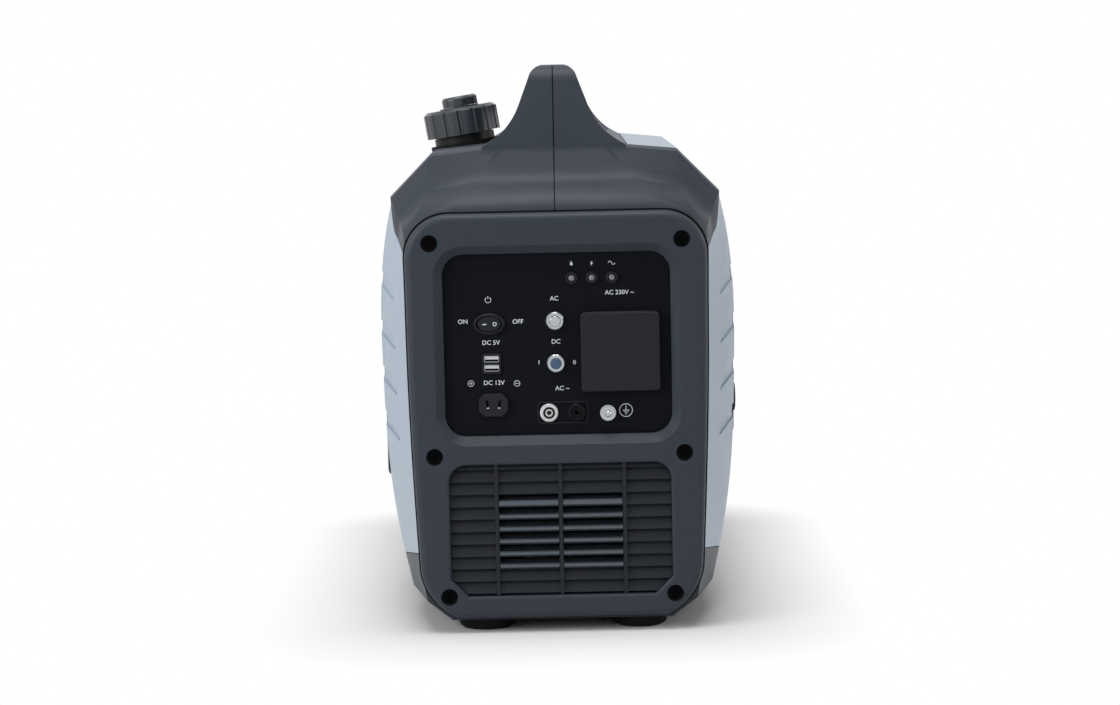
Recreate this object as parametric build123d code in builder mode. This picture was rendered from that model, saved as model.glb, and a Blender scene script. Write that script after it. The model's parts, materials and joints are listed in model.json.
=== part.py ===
"""Portable inverter generator: suitcase body with a handle shroud, side panels, control panel and engine.

Frame: +Z up, the control panel faces -Y, +X is to the right of someone facing it. The origin is on the floor
under the middle of the generator. Lengths are millimetres. Heights below are measured from a datum plane that
the feet reach FOOT_DROP below, and each finished piece is lifted by that much as it is written.
"""

import os
from math import cos, hypot, radians, sin

from build123d import *

os.makedirs("parts", exist_ok=True)

# Overall size: the height is the one above the datum plane
HEIGHT = 455.0
FOOT_DROP = 5.0
HALF_LENGTH = 255.0
HALF_WIDTH = 150.0
WALL = 3.0
SEAM = 0.6
HOOD_SEAM = 1.0
FIT = 0.3

# Shell: the tube of the body runs between two end faces, and is widest between the two shoulders
SHELL_END = 244.0
SHOULDER = 165.0
TRAY_END_TOP = 60.0
TRAY_MID_TOP = 47.0
LIP_REACH = 10.0
STRIP_RIGHT = 60.0
STRIP_LEFT = 112.0

# Half outlines of the shell in front view, from the bottom corner up to the top
END_OUTLINE = [(90, 4.5), (110.5, 20.5), (114.8, 46), (118.7, 134), (121, 215), (121.5, 262), (122, 301),
               (119.3, 314.8), (111.5, 326.5), (86, 337)]
MID_OUTLINE = [(115, 4.5), (126.5, 19), (132.5, 46), (144.5, 130), (147.5, 205), (147.8, 255), (141.5, 322),
               (135.5, 350), (101, 385), (40, 391)]
SIDE_FIRST, SIDE_LAST = 2, 6

# Hood: how far the top has risen from the end outline to the middle one, at each distance from the end
HOOD_RISE = [(0, 0.0), (3, 0.13), (7, 0.22), (13, 0.31), (20, 0.38), (27, 0.44), (31, 0.52), (34, 0.62),
             (43, 0.95), (48, 0.99), (SHELL_END - SHOULDER, 1.0)]
PANEL_STEPS = (0, 43, SHELL_END - SHOULDER)
HOOD_SIDE_VIEW = [(-270, 300), (-246, 301), (-205, 321), (-190, 352), (-182, 420), (-270, 420)]

# Slanted grooves in the front facet of each flank
GROOVE_LOW = (264.0, 223.5, 185.0, 147.0)
GROOVE_FRONT, GROOVE_REAR = 205.0, 150.0
GROOVE_RISE, GROOVE_HIGH, GROOVE_DEPTH = 13.5, 12.5, 1.5

# Handle
HANDLE_TOP_HALF = 9.0
HANDLE_BAR_HALF = 20.0
HANDLE_POST_HALF = 28.5
HANDLE_POST_Z = 422.0
HANDLE_BASE_HALF = 59.0
HANDLE_BASE_Z = 389.0
HANDLE_FOOT_Y = 206.0
HANDLE_TOP_Y = 190.0
GRIP_GAP_HALF = 108.0
GRIP_GAP_LOW = 394.0
GRIP_GAP_HIGH = 428.0

# Front bezel
BEZEL_FACE = -HALF_LENGTH
BEZEL_CORNER = [(85.5, 7.0), (106.5, 25.0)]
BEZEL_BACK = -SHELL_END - SEAM
PANEL_WINDOW = (184.0, 148.0, 230.3, 17.0)
PANEL_LIP = 7.0
GRILLE_RIM = 2.4
GRILLE_WINDOW = (180.0, 108.0, 79.5)
SCREW_SPOTS = [(101.5, 314.0), (101.2, 140.8), (92.0, 25.5)]
SCREW_WELL_R = 7.0
SCREW_HEAD_R = 5.6

# Control panel: its face, and where each control stands on it as (x, z)
PANEL_FACE = BEZEL_BACK
PANEL_THICK = 3.0
PANEL_SIZE = (206.0, 166.0, 24.0)
LAMPS = [(12.5, 283.4), (28.8, 283.4), (45.0, 283.4)]
ROCKER = (-55.0, 247.5)
AC_BUTTON = (-1.7, 249.0)
DC_BUTTON = (-1.5, 214.5)
USB = (-53.6, 215.3)
DC_SOCKET = (-52.8, 181.5)
PARALLEL = (3.3, 174.3)
LIVE_SOCKET = (-7.9, 174.3)
NEUTRAL_SOCKET = (14.5, 174.3)
EARTH = (39.9, 173.3)
LID = (50.8, 223.4)
LID_SIDE = 64.0

# Fuel filler, on an axis that leans towards the left flank
FILLER = Vector(-77.5, -60.0, 387.0)
FILLER_LEAN = 9.0
FILLER_HOLE_R = 30.4
NECK_R = 26.0
CAP_R = 32.0
CAP_SKIRT = 23.0
CAP_LOW = 10.0

# Right flank: engine dial and starter grip; left flank: vent insert
DIAL = (-60.0, 293.0)
GRIP_Y, GRIP_Z = -110.0, 170.0
VENT_Y, VENT_Z = -60.0, 147.2
FLANK_REACH = HALF_WIDTH
GRIP_CUP = (70.0, 56.0, 12.0)
VENT_SIZE = (96.0, 88.0, 10.0)
DIAL_R = 13.0

# Engine: the crank lies along Y
CRANK_Z = 130.0
ROPE_R = 40.0


def write(piece, name):
    """Lifts a finished piece from the datum plane to the floor, labels it and writes its file."""
    lifted = piece.moved(Location((0, 0, FOOT_DROP)))
    lifted.label = name
    export_step(lifted, f"parts/{name}.step")


def at(spot, y, toward_front=True):
    """Sketch plane facing the front (or the rear) at a spot given as (x, z)."""
    return Plane((spot[0], y, spot[1]), x_dir=(1, 0, 0), z_dir=(0, -1 if toward_front else 1, 0))


def inset(points, depth):
    """A closed outline moved inwards by depth, corner by corner along the mitre."""
    moved = []
    count = len(points)
    for i, (x, z) in enumerate(points):
        (x0, z0), (x1, z1) = points[i - 1], points[(i + 1) % count]
        before, after = hypot(x - x0, z - z0), hypot(x1 - x, z1 - z)
        n0 = (-(z - z0) / before, (x - x0) / before)
        n1 = (-(z1 - z) / after, (x1 - x) / after)
        share = depth / (1 + n0[0] * n1[0] + n0[1] * n1[1])
        moved.append((x + (n0[0] + n1[0]) * share, z + (n0[1] + n1[1]) * share))
    return moved


def outline_at(distance):
    """Half outline of the shell at a distance from its end face."""
    along = min(1.0, distance / (SHELL_END - SHOULDER))
    steps = HOOD_RISE
    i = max(k for k, step in enumerate(steps[:-1]) if step[0] <= max(0, min(distance, steps[-1][0] - 1e-6)))
    (d0, r0), (d1, r1) = steps[i], steps[i + 1]
    rise = r0 + (r1 - r0) * (min(distance, d1) - d0) / (d1 - d0)
    points = []
    for k, (end, mid) in enumerate(zip(END_OUTLINE, MID_OUTLINE)):
        share = along if k <= SIDE_LAST else rise
        points.append((end[0] + (mid[0] - end[0]) * share, end[1] + (mid[1] - end[1]) * share))
    return points


def section(half, y, depth):
    """The closed shell section at y, moved inwards by depth, with each flank as one curve."""
    ring = half + [(-x, z) for x, z in reversed(half)]
    if depth:
        ring = inset(ring, depth)
    right, left = ring[: len(half)], ring[len(half):]
    flank, other = right[SIDE_FIRST: SIDE_LAST + 1], left[len(half) - 1 - SIDE_LAST: len(half) - SIDE_FIRST]
    with BuildSketch(Plane((0, y, 0), x_dir=(1, 0, 0), z_dir=(0, -1, 0))) as sketch:
        with BuildLine():
            Polyline(*right[: SIDE_FIRST + 1])
            Spline(*flank)
            Polyline(*right[SIDE_LAST:], *left[: len(half) - SIDE_LAST])
            Spline(*other)
            Polyline(*left[len(half) - 1 - SIDE_FIRST:], right[0])
        make_face()
    return sketch.sketch


def shell_form(depth, overrun, distances):
    """Solid form of the body tube, moved inwards by depth and run past its end faces by overrun."""
    stations = [(-SHELL_END + d, outline_at(d)) for d in distances]
    stations += [(-y, half) for y, half in reversed(stations)]
    if overrun:
        stations.insert(0, (-SHELL_END - overrun, stations[0][1]))
        stations.append((SHELL_END + overrun, stations[-1][1]))
    with BuildPart() as form:
        loft([section(half, y, depth) for y, half in stations], ruled=True)
    return form.part


def side_view_block(points, half_width):
    """Block with an outline given in side view as (y, z), standing to both sides of the middle plane."""
    with BuildPart() as block:
        with BuildSketch(Plane.YZ.offset(-half_width)):
            with BuildLine():
                Polyline(*points, close=True)
            make_face()
        extrude(amount=2 * half_width)
    return block.part


def front_view_block(points, y0, y1):
    """Block with an outline given in front view as (x, z), from y0 to y1."""
    with BuildPart() as block:
        with BuildSketch(Plane((0, y1, 0), x_dir=(1, 0, 0), z_dir=(0, -1, 0))):
            with BuildLine():
                Polyline(*points, close=True)
            make_face()
        extrude(amount=y1 - y0)
    return block.part


def shell_tube(distances):
    """The body's wall as a tube that is open at the front and the rear."""
    with BuildPart() as tube:
        add(shell_form(0, 0, distances))
        add(shell_form(WALL, 5, distances), mode=Mode.SUBTRACT)
    return tube.part


def hood_blocks(margin):
    """Blocks that hold the front and rear hoods, grown by margin."""
    points = [(y + (margin if y > -240 else 0), z - margin) for y, z in HOOD_SIDE_VIEW]
    with BuildPart() as blocks:
        add(side_view_block(points, HALF_WIDTH + 10))
        mirror(about=Plane.XZ)
    return blocks.part


def tray_block(margin):
    """Block that holds the base tray, whose top edge dips between the shoulders."""
    high, low = TRAY_END_TOP + margin, TRAY_MID_TOP + margin
    points = [(-SHELL_END - 1, -5), (-SHELL_END - 1, high), (-SHOULDER, low), (SHOULDER, low),
              (SHELL_END + 1, high), (SHELL_END + 1, -5)]
    return side_view_block(points, HALF_WIDTH + 10)


def strip_block(margin):
    """Block that holds the dark strip under the handle, wide enough on the left to take in the filler."""
    left, right = -STRIP_LEFT - margin, STRIP_RIGHT + margin
    return front_view_block([(left, 360), (right, 360), (right, 470), (left, 470)], -220, 220)


hood_tube = shell_tube([step[0] for step in HOOD_RISE])
panel_tube = shell_tube(PANEL_STEPS)

# Handle: a bar on two posts that flare into the strip below
with BuildPart() as handle:
    with BuildSketch(Plane((0, HALF_LENGTH, 0), x_dir=(1, 0, 0), z_dir=(0, -1, 0))):
        with BuildLine():
            crown = Line((0, HEIGHT), (HANDLE_TOP_HALF, HEIGHT))
            shoulder = ThreePointArc(crown @ 1, (15.2, HEIGHT - 2.8), (HANDLE_BAR_HALF, HEIGHT - 10.5))
            post = Line(shoulder @ 1, (HANDLE_POST_HALF, HANDLE_POST_Z))
            flare = TangentArc(post @ 1, (HANDLE_BASE_HALF, HANDLE_BASE_Z), tangent=post % 1)
            Polyline(flare @ 1, (HANDLE_BASE_HALF, HANDLE_BASE_Z - 6), (0, HANDLE_BASE_Z - 6))
            mirror(about=Plane.YZ)
        make_face()
    extrude(amount=2 * HALF_LENGTH)
    with BuildSketch(Plane.YZ.offset(-HALF_WIDTH)):
        with BuildLine():
            top = Line((-HANDLE_TOP_Y + 16, HEIGHT), (HANDLE_TOP_Y - 16, HEIGHT))
            rear = ThreePointArc(top @ 1, (HANDLE_TOP_Y - 5, HEIGHT - 5), (HANDLE_TOP_Y, HEIGHT - 16))
            Polyline(rear @ 1, (HANDLE_FOOT_Y - 4.5, HANDLE_BASE_Z), (HANDLE_FOOT_Y - 4.5, HANDLE_BASE_Z - 6),
                     (-HANDLE_FOOT_Y + 4.5, HANDLE_BASE_Z - 6), (-HANDLE_FOOT_Y + 4.5, HANDLE_BASE_Z),
                     (-HANDLE_TOP_Y, HEIGHT - 16))
            ThreePointArc((-HANDLE_TOP_Y, HEIGHT - 16), (-HANDLE_TOP_Y + 5, HEIGHT - 5), top @ 0)
        make_face()
    extrude(amount=2 * HALF_WIDTH, mode=Mode.INTERSECT)
    with BuildSketch(Plane.YZ.offset(-HALF_WIDTH)):
        with Locations((0, (GRIP_GAP_LOW + GRIP_GAP_HIGH) / 2)):
            RectangleRounded(2 * GRIP_GAP_HALF, GRIP_GAP_HIGH - GRIP_GAP_LOW, 14)
    extrude(amount=2 * HALF_WIDTH, mode=Mode.SUBTRACT)

with BuildPart() as strip:
    add(panel_tube)
    add(strip_block(0), mode=Mode.INTERSECT)
    add(hood_blocks(0), mode=Mode.SUBTRACT)

with BuildPart() as handle_shroud:
    add(hood_tube)
    add(hood_blocks(0), mode=Mode.INTERSECT)
    add(strip.part)
    add(handle.part)

lean = radians(FILLER_LEAN)
filler_plane = Plane(FILLER, x_dir=(cos(lean), 0, sin(lean)), z_dir=(-sin(lean), 0, cos(lean)))

# The shroud is moulded in two halves that meet on the middle plane; the left one is cut for the filler
with BuildPart() as shroud_left:
    add(handle_shroud.part)
    split(bisect_by=Plane.YZ.offset(-HOOD_SEAM / 2), keep=Keep.BOTTOM)
    with BuildSketch(filler_plane):
        Circle(FILLER_HOLE_R)
    extrude(amount=30, both=True, mode=Mode.SUBTRACT)

with BuildPart() as shroud_right:
    add(handle_shroud.part)
    split(bisect_by=Plane.YZ.offset(HOOD_SEAM / 2), keep=Keep.TOP)

write(shroud_left.part, "handle_shroud_left")
write(shroud_right.part, "handle_shroud_right")


def flank_plane(spot, side):
    """Outward sketch plane on a flank at a spot given as (y, z): side is 1 for right, -1 for left."""
    return Plane((0, spot[0], spot[1]), x_dir=(0, side, 0), z_dir=(side, 0, 0))


# Shallow slanted grooves in the front facet of each flank
with BuildPart() as grooves:
    for low in GROOVE_LOW:
        with BuildSketch(Plane.YZ.offset(-HALF_WIDTH - 10)):
            with BuildLine():
                Polyline((-GROOVE_FRONT, low), (-GROOVE_REAR, low + GROOVE_RISE),
                         (-GROOVE_REAR, low + GROOVE_RISE + GROOVE_HIGH), (-GROOVE_FRONT, low + GROOVE_HIGH),
                         close=True)
            make_face()
        extrude(amount=2 * HALF_WIDTH + 20)
    add(shell_form(GROOVE_DEPTH, 5, PANEL_STEPS), mode=Mode.SUBTRACT)

# Side panels: what is left of the tube above the tray and between the hoods, with the openings of each flank
with BuildPart() as panels:
    add(panel_tube)
    add(tray_block(SEAM), mode=Mode.SUBTRACT)
    add(hood_blocks(SEAM), mode=Mode.SUBTRACT)
    add(strip_block(SEAM), mode=Mode.SUBTRACT)
    add(grooves.part, mode=Mode.SUBTRACT)

with BuildPart() as right_panel:
    add(panels.part)
    split(bisect_by=Plane.YZ, keep=Keep.TOP)
    with BuildSketch(flank_plane((GRIP_Y, GRIP_Z), 1)):
        RectangleRounded(*GRIP_CUP)
    extrude(amount=200, mode=Mode.SUBTRACT)
    with BuildSketch(flank_plane(DIAL, 1)):
        Circle(DIAL_R + 3)
    extrude(amount=200, mode=Mode.SUBTRACT)

with BuildPart() as left_panel:
    add(panels.part)
    split(bisect_by=Plane.YZ, keep=Keep.BOTTOM)
    with BuildSketch(flank_plane((VENT_Y, VENT_Z), -1)):
        RectangleRounded(*VENT_SIZE)
    extrude(amount=200, mode=Mode.SUBTRACT)
    with BuildSketch(filler_plane):
        Circle(FILLER_HOLE_R)
    extrude(amount=30, both=True, mode=Mode.SUBTRACT)

write(right_panel.part, "right_side_panel")
write(left_panel.part, "left_side_panel")

# Base tray: the bottom of the tube, with a lip at each end that the bezel and the rear cover close on
with BuildPart() as tray_lips:
    add(shell_form(0, 0, PANEL_STEPS))
    add(shell_form(LIP_REACH, 5, PANEL_STEPS), mode=Mode.SUBTRACT)
    Box(4 * HALF_WIDTH, 2 * (SHELL_END - WALL), 4 * HEIGHT, mode=Mode.SUBTRACT)
    add(tray_block(0), mode=Mode.INTERSECT)

with BuildPart() as tray:
    add(panel_tube)
    add(tray_block(0), mode=Mode.INTERSECT)
    add(tray_lips.part)

write(tray.part, "base_tray")

# Feet: round pads that narrow towards the floor
FOOT_SPOTS = [(-63, -219), (63, -219), (-63, 219), (63, 219)]
FOOT_R = 24.0
FOOT_STEPS = [(-FOOT_DROP, FOOT_R - 4), (1.5 - FOOT_DROP, FOOT_R - 1.8), (END_OUTLINE[0][1], FOOT_R)]
with BuildPart() as feet:
    for x, y in FOOT_SPOTS:
        for height, radius in FOOT_STEPS:
            with BuildSketch(Plane((x, y, height))):
                Circle(radius)
        loft(ruled=True)

write(feet.part, "rubber_feet")


def bezel_outline():
    """Outline of the end faces in front view: round corners, flanks as one curve each."""
    corner_r = END_OUTLINE[-1][1] - END_OUTLINE[SIDE_LAST][1]
    x_top, z_top = END_OUTLINE[-1]
    low, round_low = BEZEL_CORNER
    mid = (x_top + corner_r * cos(radians(45)), z_top - corner_r * (1 - sin(radians(45))))
    with BuildLine() as line:
        Line((0, low[1]), low)
        ThreePointArc(low, round_low, END_OUTLINE[SIDE_FIRST])
        Spline(*END_OUTLINE[SIDE_FIRST: SIDE_LAST + 1])
        ThreePointArc(END_OUTLINE[SIDE_LAST], mid, (x_top, z_top))
        Line((x_top, z_top), (0, z_top))
        mirror(about=Plane.YZ)
    return line.line


def grille_outline(grow):
    """Outline of the grille window: round at the top, cut at 45 degrees at the bottom corners."""
    width, height, middle = GRILLE_WINDOW
    half, low, high = width / 2 + grow, middle - height / 2 - grow, middle + height / 2 + grow
    cut, top_r = 14, 14
    with BuildLine() as line:
        Polyline((0, low), (half - cut, low), (half, low + cut), (half, high - top_r))
        RadiusArc((half, high - top_r), (half - top_r, high), -top_r)
        Line((half - top_r, high), (0, high))
        mirror(about=Plane.YZ)
    return line.line


# Front bezel: a frame with two windows and six screw wells
with BuildPart() as bezel:
    with BuildSketch(at((0, 0), BEZEL_BACK)):
        add(bezel_outline())
        make_face()
    extrude(amount=BEZEL_BACK - BEZEL_FACE)
    front_face = bezel.faces().sort_by(Axis.Y)[0]
    fillet(front_face.edges(), radius=6)
    with BuildSketch(at((0, PANEL_WINDOW[2]), BEZEL_FACE)):
        RectangleRounded(PANEL_WINDOW[0], PANEL_WINDOW[1], PANEL_WINDOW[3])
    extrude(amount=-40, mode=Mode.SUBTRACT)
    with BuildSketch(at((0, 0), BEZEL_FACE)):
        add(grille_outline(0))
        make_face()
    extrude(amount=-40, mode=Mode.SUBTRACT)
    rims = bezel.faces().filter_by(Plane.XZ).sort_by(Axis.Y)[0].inner_wires().sort_by(Axis.Z)
    chamfer(rims[-1].edges(), length=PANEL_LIP)
    rims = bezel.faces().filter_by(Plane.XZ).sort_by(Axis.Y)[0].inner_wires().sort_by(Axis.Z)
    fillet(rims[0].edges(), radius=GRILLE_RIM)
    with Locations([at((side * x, z), BEZEL_FACE) for x, z in SCREW_SPOTS for side in (-1, 1)]):
        CounterBoreHole(radius=2.6, counter_bore_radius=SCREW_WELL_R, counter_bore_depth=7.5, depth=40)

write(bezel.part, "front_bezel")

SCREW_SEAT = BEZEL_FACE + 7.5
with BuildPart() as bezel_screws:
    for x, z in SCREW_SPOTS:
        for side in (-1, 1):
            with BuildSketch(at((side * x, z), SCREW_SEAT)):
                Circle(SCREW_HEAD_R)
            extrude(amount=3.2)
            with BuildSketch(at((side * x, z), SCREW_SEAT)):
                Circle(2.4)
            extrude(amount=-2.8)
            with BuildSketch(at((side * x, z), SCREW_SEAT - 3.2)):
                Rectangle(6.4, 1.5)
                Rectangle(1.5, 6.4)
            extrude(amount=-1.8, mode=Mode.SUBTRACT)

write(bezel_screws.part, "bezel_screws")

# Grille: a stepped back plate with slats, three uprights, and open rows in the two middle columns
GRILLE_FRONT = BEZEL_FACE + 3.0
GRILLE_BACK = BEZEL_BACK
SLAT_PITCH = 10.2
SLAT_RISE = 4.0
RIBS_X = (-52.0, 0.0, 52.0)
RIB_HALF = 1.4
OPEN_ROWS = range(3, 9)
grille_half = GRILLE_WINDOW[0] / 2 - FIT
grille_low = GRILLE_WINDOW[2] - GRILLE_WINDOW[1] / 2 + FIT
grille_high = GRILLE_WINDOW[2] + GRILLE_WINDOW[1] / 2 - FIT
slat_count = int((grille_high - grille_low) / SLAT_PITCH)

with BuildPart() as grille_plug:
    with BuildSketch(at((0, 0), GRILLE_BACK)):
        add(grille_outline(-FIT))
        make_face()
    extrude(amount=GRILLE_BACK - GRILLE_FRONT)

with BuildPart() as grille:
    with BuildSketch(Plane.YZ.offset(-grille_half)):
        for k in range(slat_count + 1):
            low = grille_low + k * SLAT_PITCH
            with BuildLine():
                Polyline((GRILLE_BACK, low), (GRILLE_FRONT + SLAT_RISE + 1, low),
                         (GRILLE_FRONT + 1, low + 1.6), (GRILLE_FRONT + SLAT_RISE + 1, low + SLAT_PITCH),
                         (GRILLE_BACK, low + SLAT_PITCH),
                         close=True)
            make_face()
    extrude(amount=2 * grille_half)
    for x in RIBS_X:
        with BuildSketch(at((x, (grille_low + grille_high) / 2), GRILLE_BACK)):
            Rectangle(2 * RIB_HALF, grille_high - grille_low)
        extrude(amount=GRILLE_BACK - GRILLE_FRONT)
    for left, right in ((RIBS_X[0], RIBS_X[1]), (RIBS_X[1], RIBS_X[2])):
        for k in OPEN_ROWS:
            spot = ((left + right) / 2, grille_low + k * SLAT_PITCH - 2.6)
            with BuildSketch(at(spot, GRILLE_BACK)):
                Rectangle(right - left - 2 * RIB_HALF - 1, 5.2)
            extrude(amount=GRILLE_BACK - GRILLE_FRONT, mode=Mode.SUBTRACT)
    add(grille_plug.part, mode=Mode.INTERSECT)

write(grille.part, "front_grille")

# Control panel plate with a hole for everything that passes through it
ROCKER_OVAL = (12.8, 8.8)
ROCKER_WELL = (10.6, 6.6)
ROCKER_KEY = (9.6, 6.0)
BUSH_R, BUTTON_R, BUSH_BARREL_R = 7.4, 4.4, 6.0
USB_SIZE = (15.2, 16.7)
DC_SIZE = (23.6, 18.7)
PARALLEL_SIZE = (41.4, 18.0)
SOCKET_R, SOCKET_BORE_R, SOCKET_BARREL_R = 7.4, 2.0, 4.6
STUD_R = 3.0
LAMP_R, LENS_R = 5.0, 2.5
AC_BODY = 50.0

with BuildPart() as control_panel:
    with BuildSketch(at((0, PANEL_WINDOW[2]), PANEL_FACE)):
        RectangleRounded(*PANEL_SIZE)
    extrude(amount=-PANEL_THICK)
    with BuildSketch(at((0, 0), PANEL_FACE)):
        with Locations(ROCKER):
            Ellipse(ROCKER_OVAL[0] - 1, ROCKER_OVAL[1] - 1)
        with Locations(AC_BUTTON, DC_BUTTON):
            Circle(BUSH_BARREL_R + FIT)
        with Locations(*LAMPS):
            Circle(LENS_R + FIT)
        with Locations(USB):
            Rectangle(USB_SIZE[0] - 2, USB_SIZE[1] - 2)
        with Locations(DC_SOCKET):
            Rectangle(DC_SIZE[0] - 5, DC_SIZE[1] - 5)
        with Locations(LIVE_SOCKET, NEUTRAL_SOCKET):
            Circle(SOCKET_BARREL_R + FIT)
        with Locations(EARTH):
            Circle(STUD_R + 0.1)
        with Locations(LID):
            Circle(AC_BODY / 2)
    extrude(amount=-PANEL_THICK, mode=Mode.SUBTRACT)

write(control_panel.part, "control_panel")

# Indicator lamps
with BuildPart() as lamp_rings:
    with BuildSketch(at((0, 0), PANEL_FACE)):
        with Locations(*LAMPS):
            Circle(LAMP_R)
        with Locations(*LAMPS):
            Circle(LENS_R + 0.2, mode=Mode.SUBTRACT)
    extrude(amount=2.2)
    chamfer(lamp_rings.faces().sort_by(Axis.Y)[0:3].edges(), length=0.7)

write(lamp_rings.part, "lamp_rings")

with BuildPart() as lamp_lenses:
    with BuildSketch(at((0, 0), PANEL_FACE + PANEL_THICK)):
        with Locations(*LAMPS):
            Circle(LENS_R)
    extrude(amount=PANEL_THICK + 3.0)
    fillet(lamp_lenses.faces().sort_by(Axis.Y)[0:3].edges(), radius=1.6)

write(lamp_lenses.part, "lamp_lenses")

# Rocker switch: an oval cup, and a key that tips about an upright pivot
ROCKER_TILT = 8.0
ROCKER_PIVOT_Y = PANEL_FACE - 0.5
with BuildPart() as rocker_frame:
    with BuildSketch(at(ROCKER, PANEL_FACE)):
        Ellipse(*ROCKER_OVAL)
    extrude(amount=3.2)
    chamfer(rocker_frame.faces().sort_by(Axis.Y)[0].edges(), length=1.2)
    with BuildSketch(at(ROCKER, PANEL_FACE)):
        Ellipse(ROCKER_OVAL[0] - 1.2, ROCKER_OVAL[1] - 1.2)
    extrude(amount=-14)
    with BuildSketch(at(ROCKER, PANEL_FACE + 12.5)):
        Ellipse(*ROCKER_WELL)
    extrude(amount=20, mode=Mode.SUBTRACT)

write(rocker_frame.part, "rocker_frame")

rocker_plane = Plane((ROCKER[0], ROCKER_PIVOT_Y, ROCKER[1]), x_dir=(1, 0, 0), z_dir=(0, -1, 0))
rocker_plane = rocker_plane.rotated((0, 0, ROCKER_TILT))
with BuildPart() as rocker_key:
    with BuildSketch(rocker_plane.offset(-5)):
        Ellipse(*ROCKER_KEY)
    extrude(amount=8.6)
    fillet(rocker_key.faces().sort_by(Axis.Y)[0].edges(), radius=0.8)
    with BuildSketch(rocker_plane.offset(3.1)):
        with Locations((-4.2, 0)):
            Rectangle(3.4, 0.9)
        with Locations((4.2, 0)):
            Circle(1.7)
            Circle(1.0, mode=Mode.SUBTRACT)
    extrude(amount=2, mode=Mode.SUBTRACT)

write(rocker_key.part, "rocker_key")


def breaker(spot):
    """Bush and button of a push-to-reset breaker at a spot on the panel."""
    with BuildPart() as bush:
        with BuildSketch(at(spot, PANEL_FACE)):
            Circle(BUSH_R)
        extrude(amount=4)
        chamfer(bush.faces().sort_by(Axis.Y)[0].edges(), length=0.8)
        with BuildSketch(at(spot, PANEL_FACE)):
            Circle(BUSH_BARREL_R)
        extrude(amount=-16)
        with BuildSketch(at(spot, PANEL_FACE + 14)):
            Circle(BUTTON_R + 0.2)
        extrude(amount=30, mode=Mode.SUBTRACT)
    with BuildPart() as button:
        with BuildSketch(at(spot, PANEL_FACE + 9)):
            Circle(BUTTON_R)
        extrude(amount=16.5)
        fillet(button.faces().sort_by(Axis.Y)[0].edges(), radius=1.0)
    return bush.part, button.part


for label, spot in (("ac", AC_BUTTON), ("dc", DC_BUTTON)):
    bush_part, button_part = breaker(spot)
    write(bush_part, f"{label}_breaker_bush")
    write(button_part, f"{label}_breaker_button")

# Double USB socket: a housing with two ports and a contact tongue in each
USB_PORT = (12.4, 5.0)
USB_GAP = 7.4
with BuildPart() as usb_socket:
    with BuildSketch(at(USB, PANEL_FACE)):
        RectangleRounded(*USB_SIZE, 1.4)
    extrude(amount=1.6)
    with BuildSketch(at(USB, PANEL_FACE)):
        Rectangle(USB_SIZE[0] - 2.6, USB_SIZE[1] - 2.6)
    extrude(amount=-18)
    with BuildSketch(at(USB, PANEL_FACE + 14)):
        with GridLocations(0, USB_GAP, 1, 2):
            Rectangle(USB_PORT[0] - 0.6, USB_PORT[1])
    extrude(amount=20, mode=Mode.SUBTRACT)

    with BuildSketch(at(USB, PANEL_FACE + 15)):
        with GridLocations(0, USB_GAP, 1, 2):
            with Locations((0, 0.9)):
                Rectangle(USB_PORT[0] - 1.6, 1.9)
    extrude(amount=15.2)

write(usb_socket.part, "usb_socket")

# DC socket: an eight-sided housing with two blade slots
DC_SLOT = (2.0, 7.0)
DC_CUT = 4.6
with BuildPart() as dc_socket:
    with BuildSketch(at(DC_SOCKET, PANEL_FACE)):
        dc_face = Rectangle(*DC_SIZE)
        chamfer(dc_face.vertices(), length=DC_CUT)
    extrude(amount=3.6)
    fillet(dc_socket.faces().sort_by(Axis.Y)[0].edges(), radius=0.8)
    with BuildSketch(at(DC_SOCKET, PANEL_FACE)):
        Rectangle(DC_SIZE[0] - 6, DC_SIZE[1] - 6)
    extrude(amount=-18)
    with BuildSketch(at(DC_SOCKET, PANEL_FACE + 12)):
        with Locations(Location((-4.9, 0.4, 0), (0, 0, 8)), Location((4.9, 0.4, 0), (0, 0, -8))):
            Rectangle(*DC_SLOT)
    extrude(amount=20, mode=Mode.SUBTRACT)

write(dc_socket.part, "dc_socket")

# Parallel sockets: a thin frame on the panel, and two round sockets for 4 mm plugs
with BuildPart() as parallel_frame:
    with BuildSketch(at(PARALLEL, PANEL_FACE)):
        RectangleRounded(*PARALLEL_SIZE, 3.5)
        RectangleRounded(PARALLEL_SIZE[0] - 1.8, PARALLEL_SIZE[1] - 1.8, 2.6, mode=Mode.SUBTRACT)
    extrude(amount=0.8)

write(parallel_frame.part, "parallel_frame")

SOCKET_DEPTH = 14.0
SOCKET_PROUD = 3.0
for label, spot in (("live", LIVE_SOCKET), ("neutral", NEUTRAL_SOCKET)):
    with BuildPart() as socket:
        with BuildSketch(at(spot, PANEL_FACE)):
            Circle(SOCKET_R)
        extrude(amount=SOCKET_PROUD)
        chamfer(socket.faces().sort_by(Axis.Y)[0].edges(), length=0.8)
        with BuildSketch(at(spot, PANEL_FACE)):
            Circle(SOCKET_BARREL_R)
        extrude(amount=-18)
        with BuildSketch(at(spot, PANEL_FACE - SOCKET_PROUD)):
            Circle(SOCKET_BARREL_R + 0.3)
            Circle(3.0, mode=Mode.SUBTRACT)
        extrude(amount=-1.2, mode=Mode.SUBTRACT)
        with BuildSketch(at(spot, PANEL_FACE - SOCKET_PROUD)):
            Circle(SOCKET_BORE_R)
        extrude(amount=-SOCKET_DEPTH, mode=Mode.SUBTRACT)
    write(socket.part, f"parallel_socket_{label}")

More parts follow.
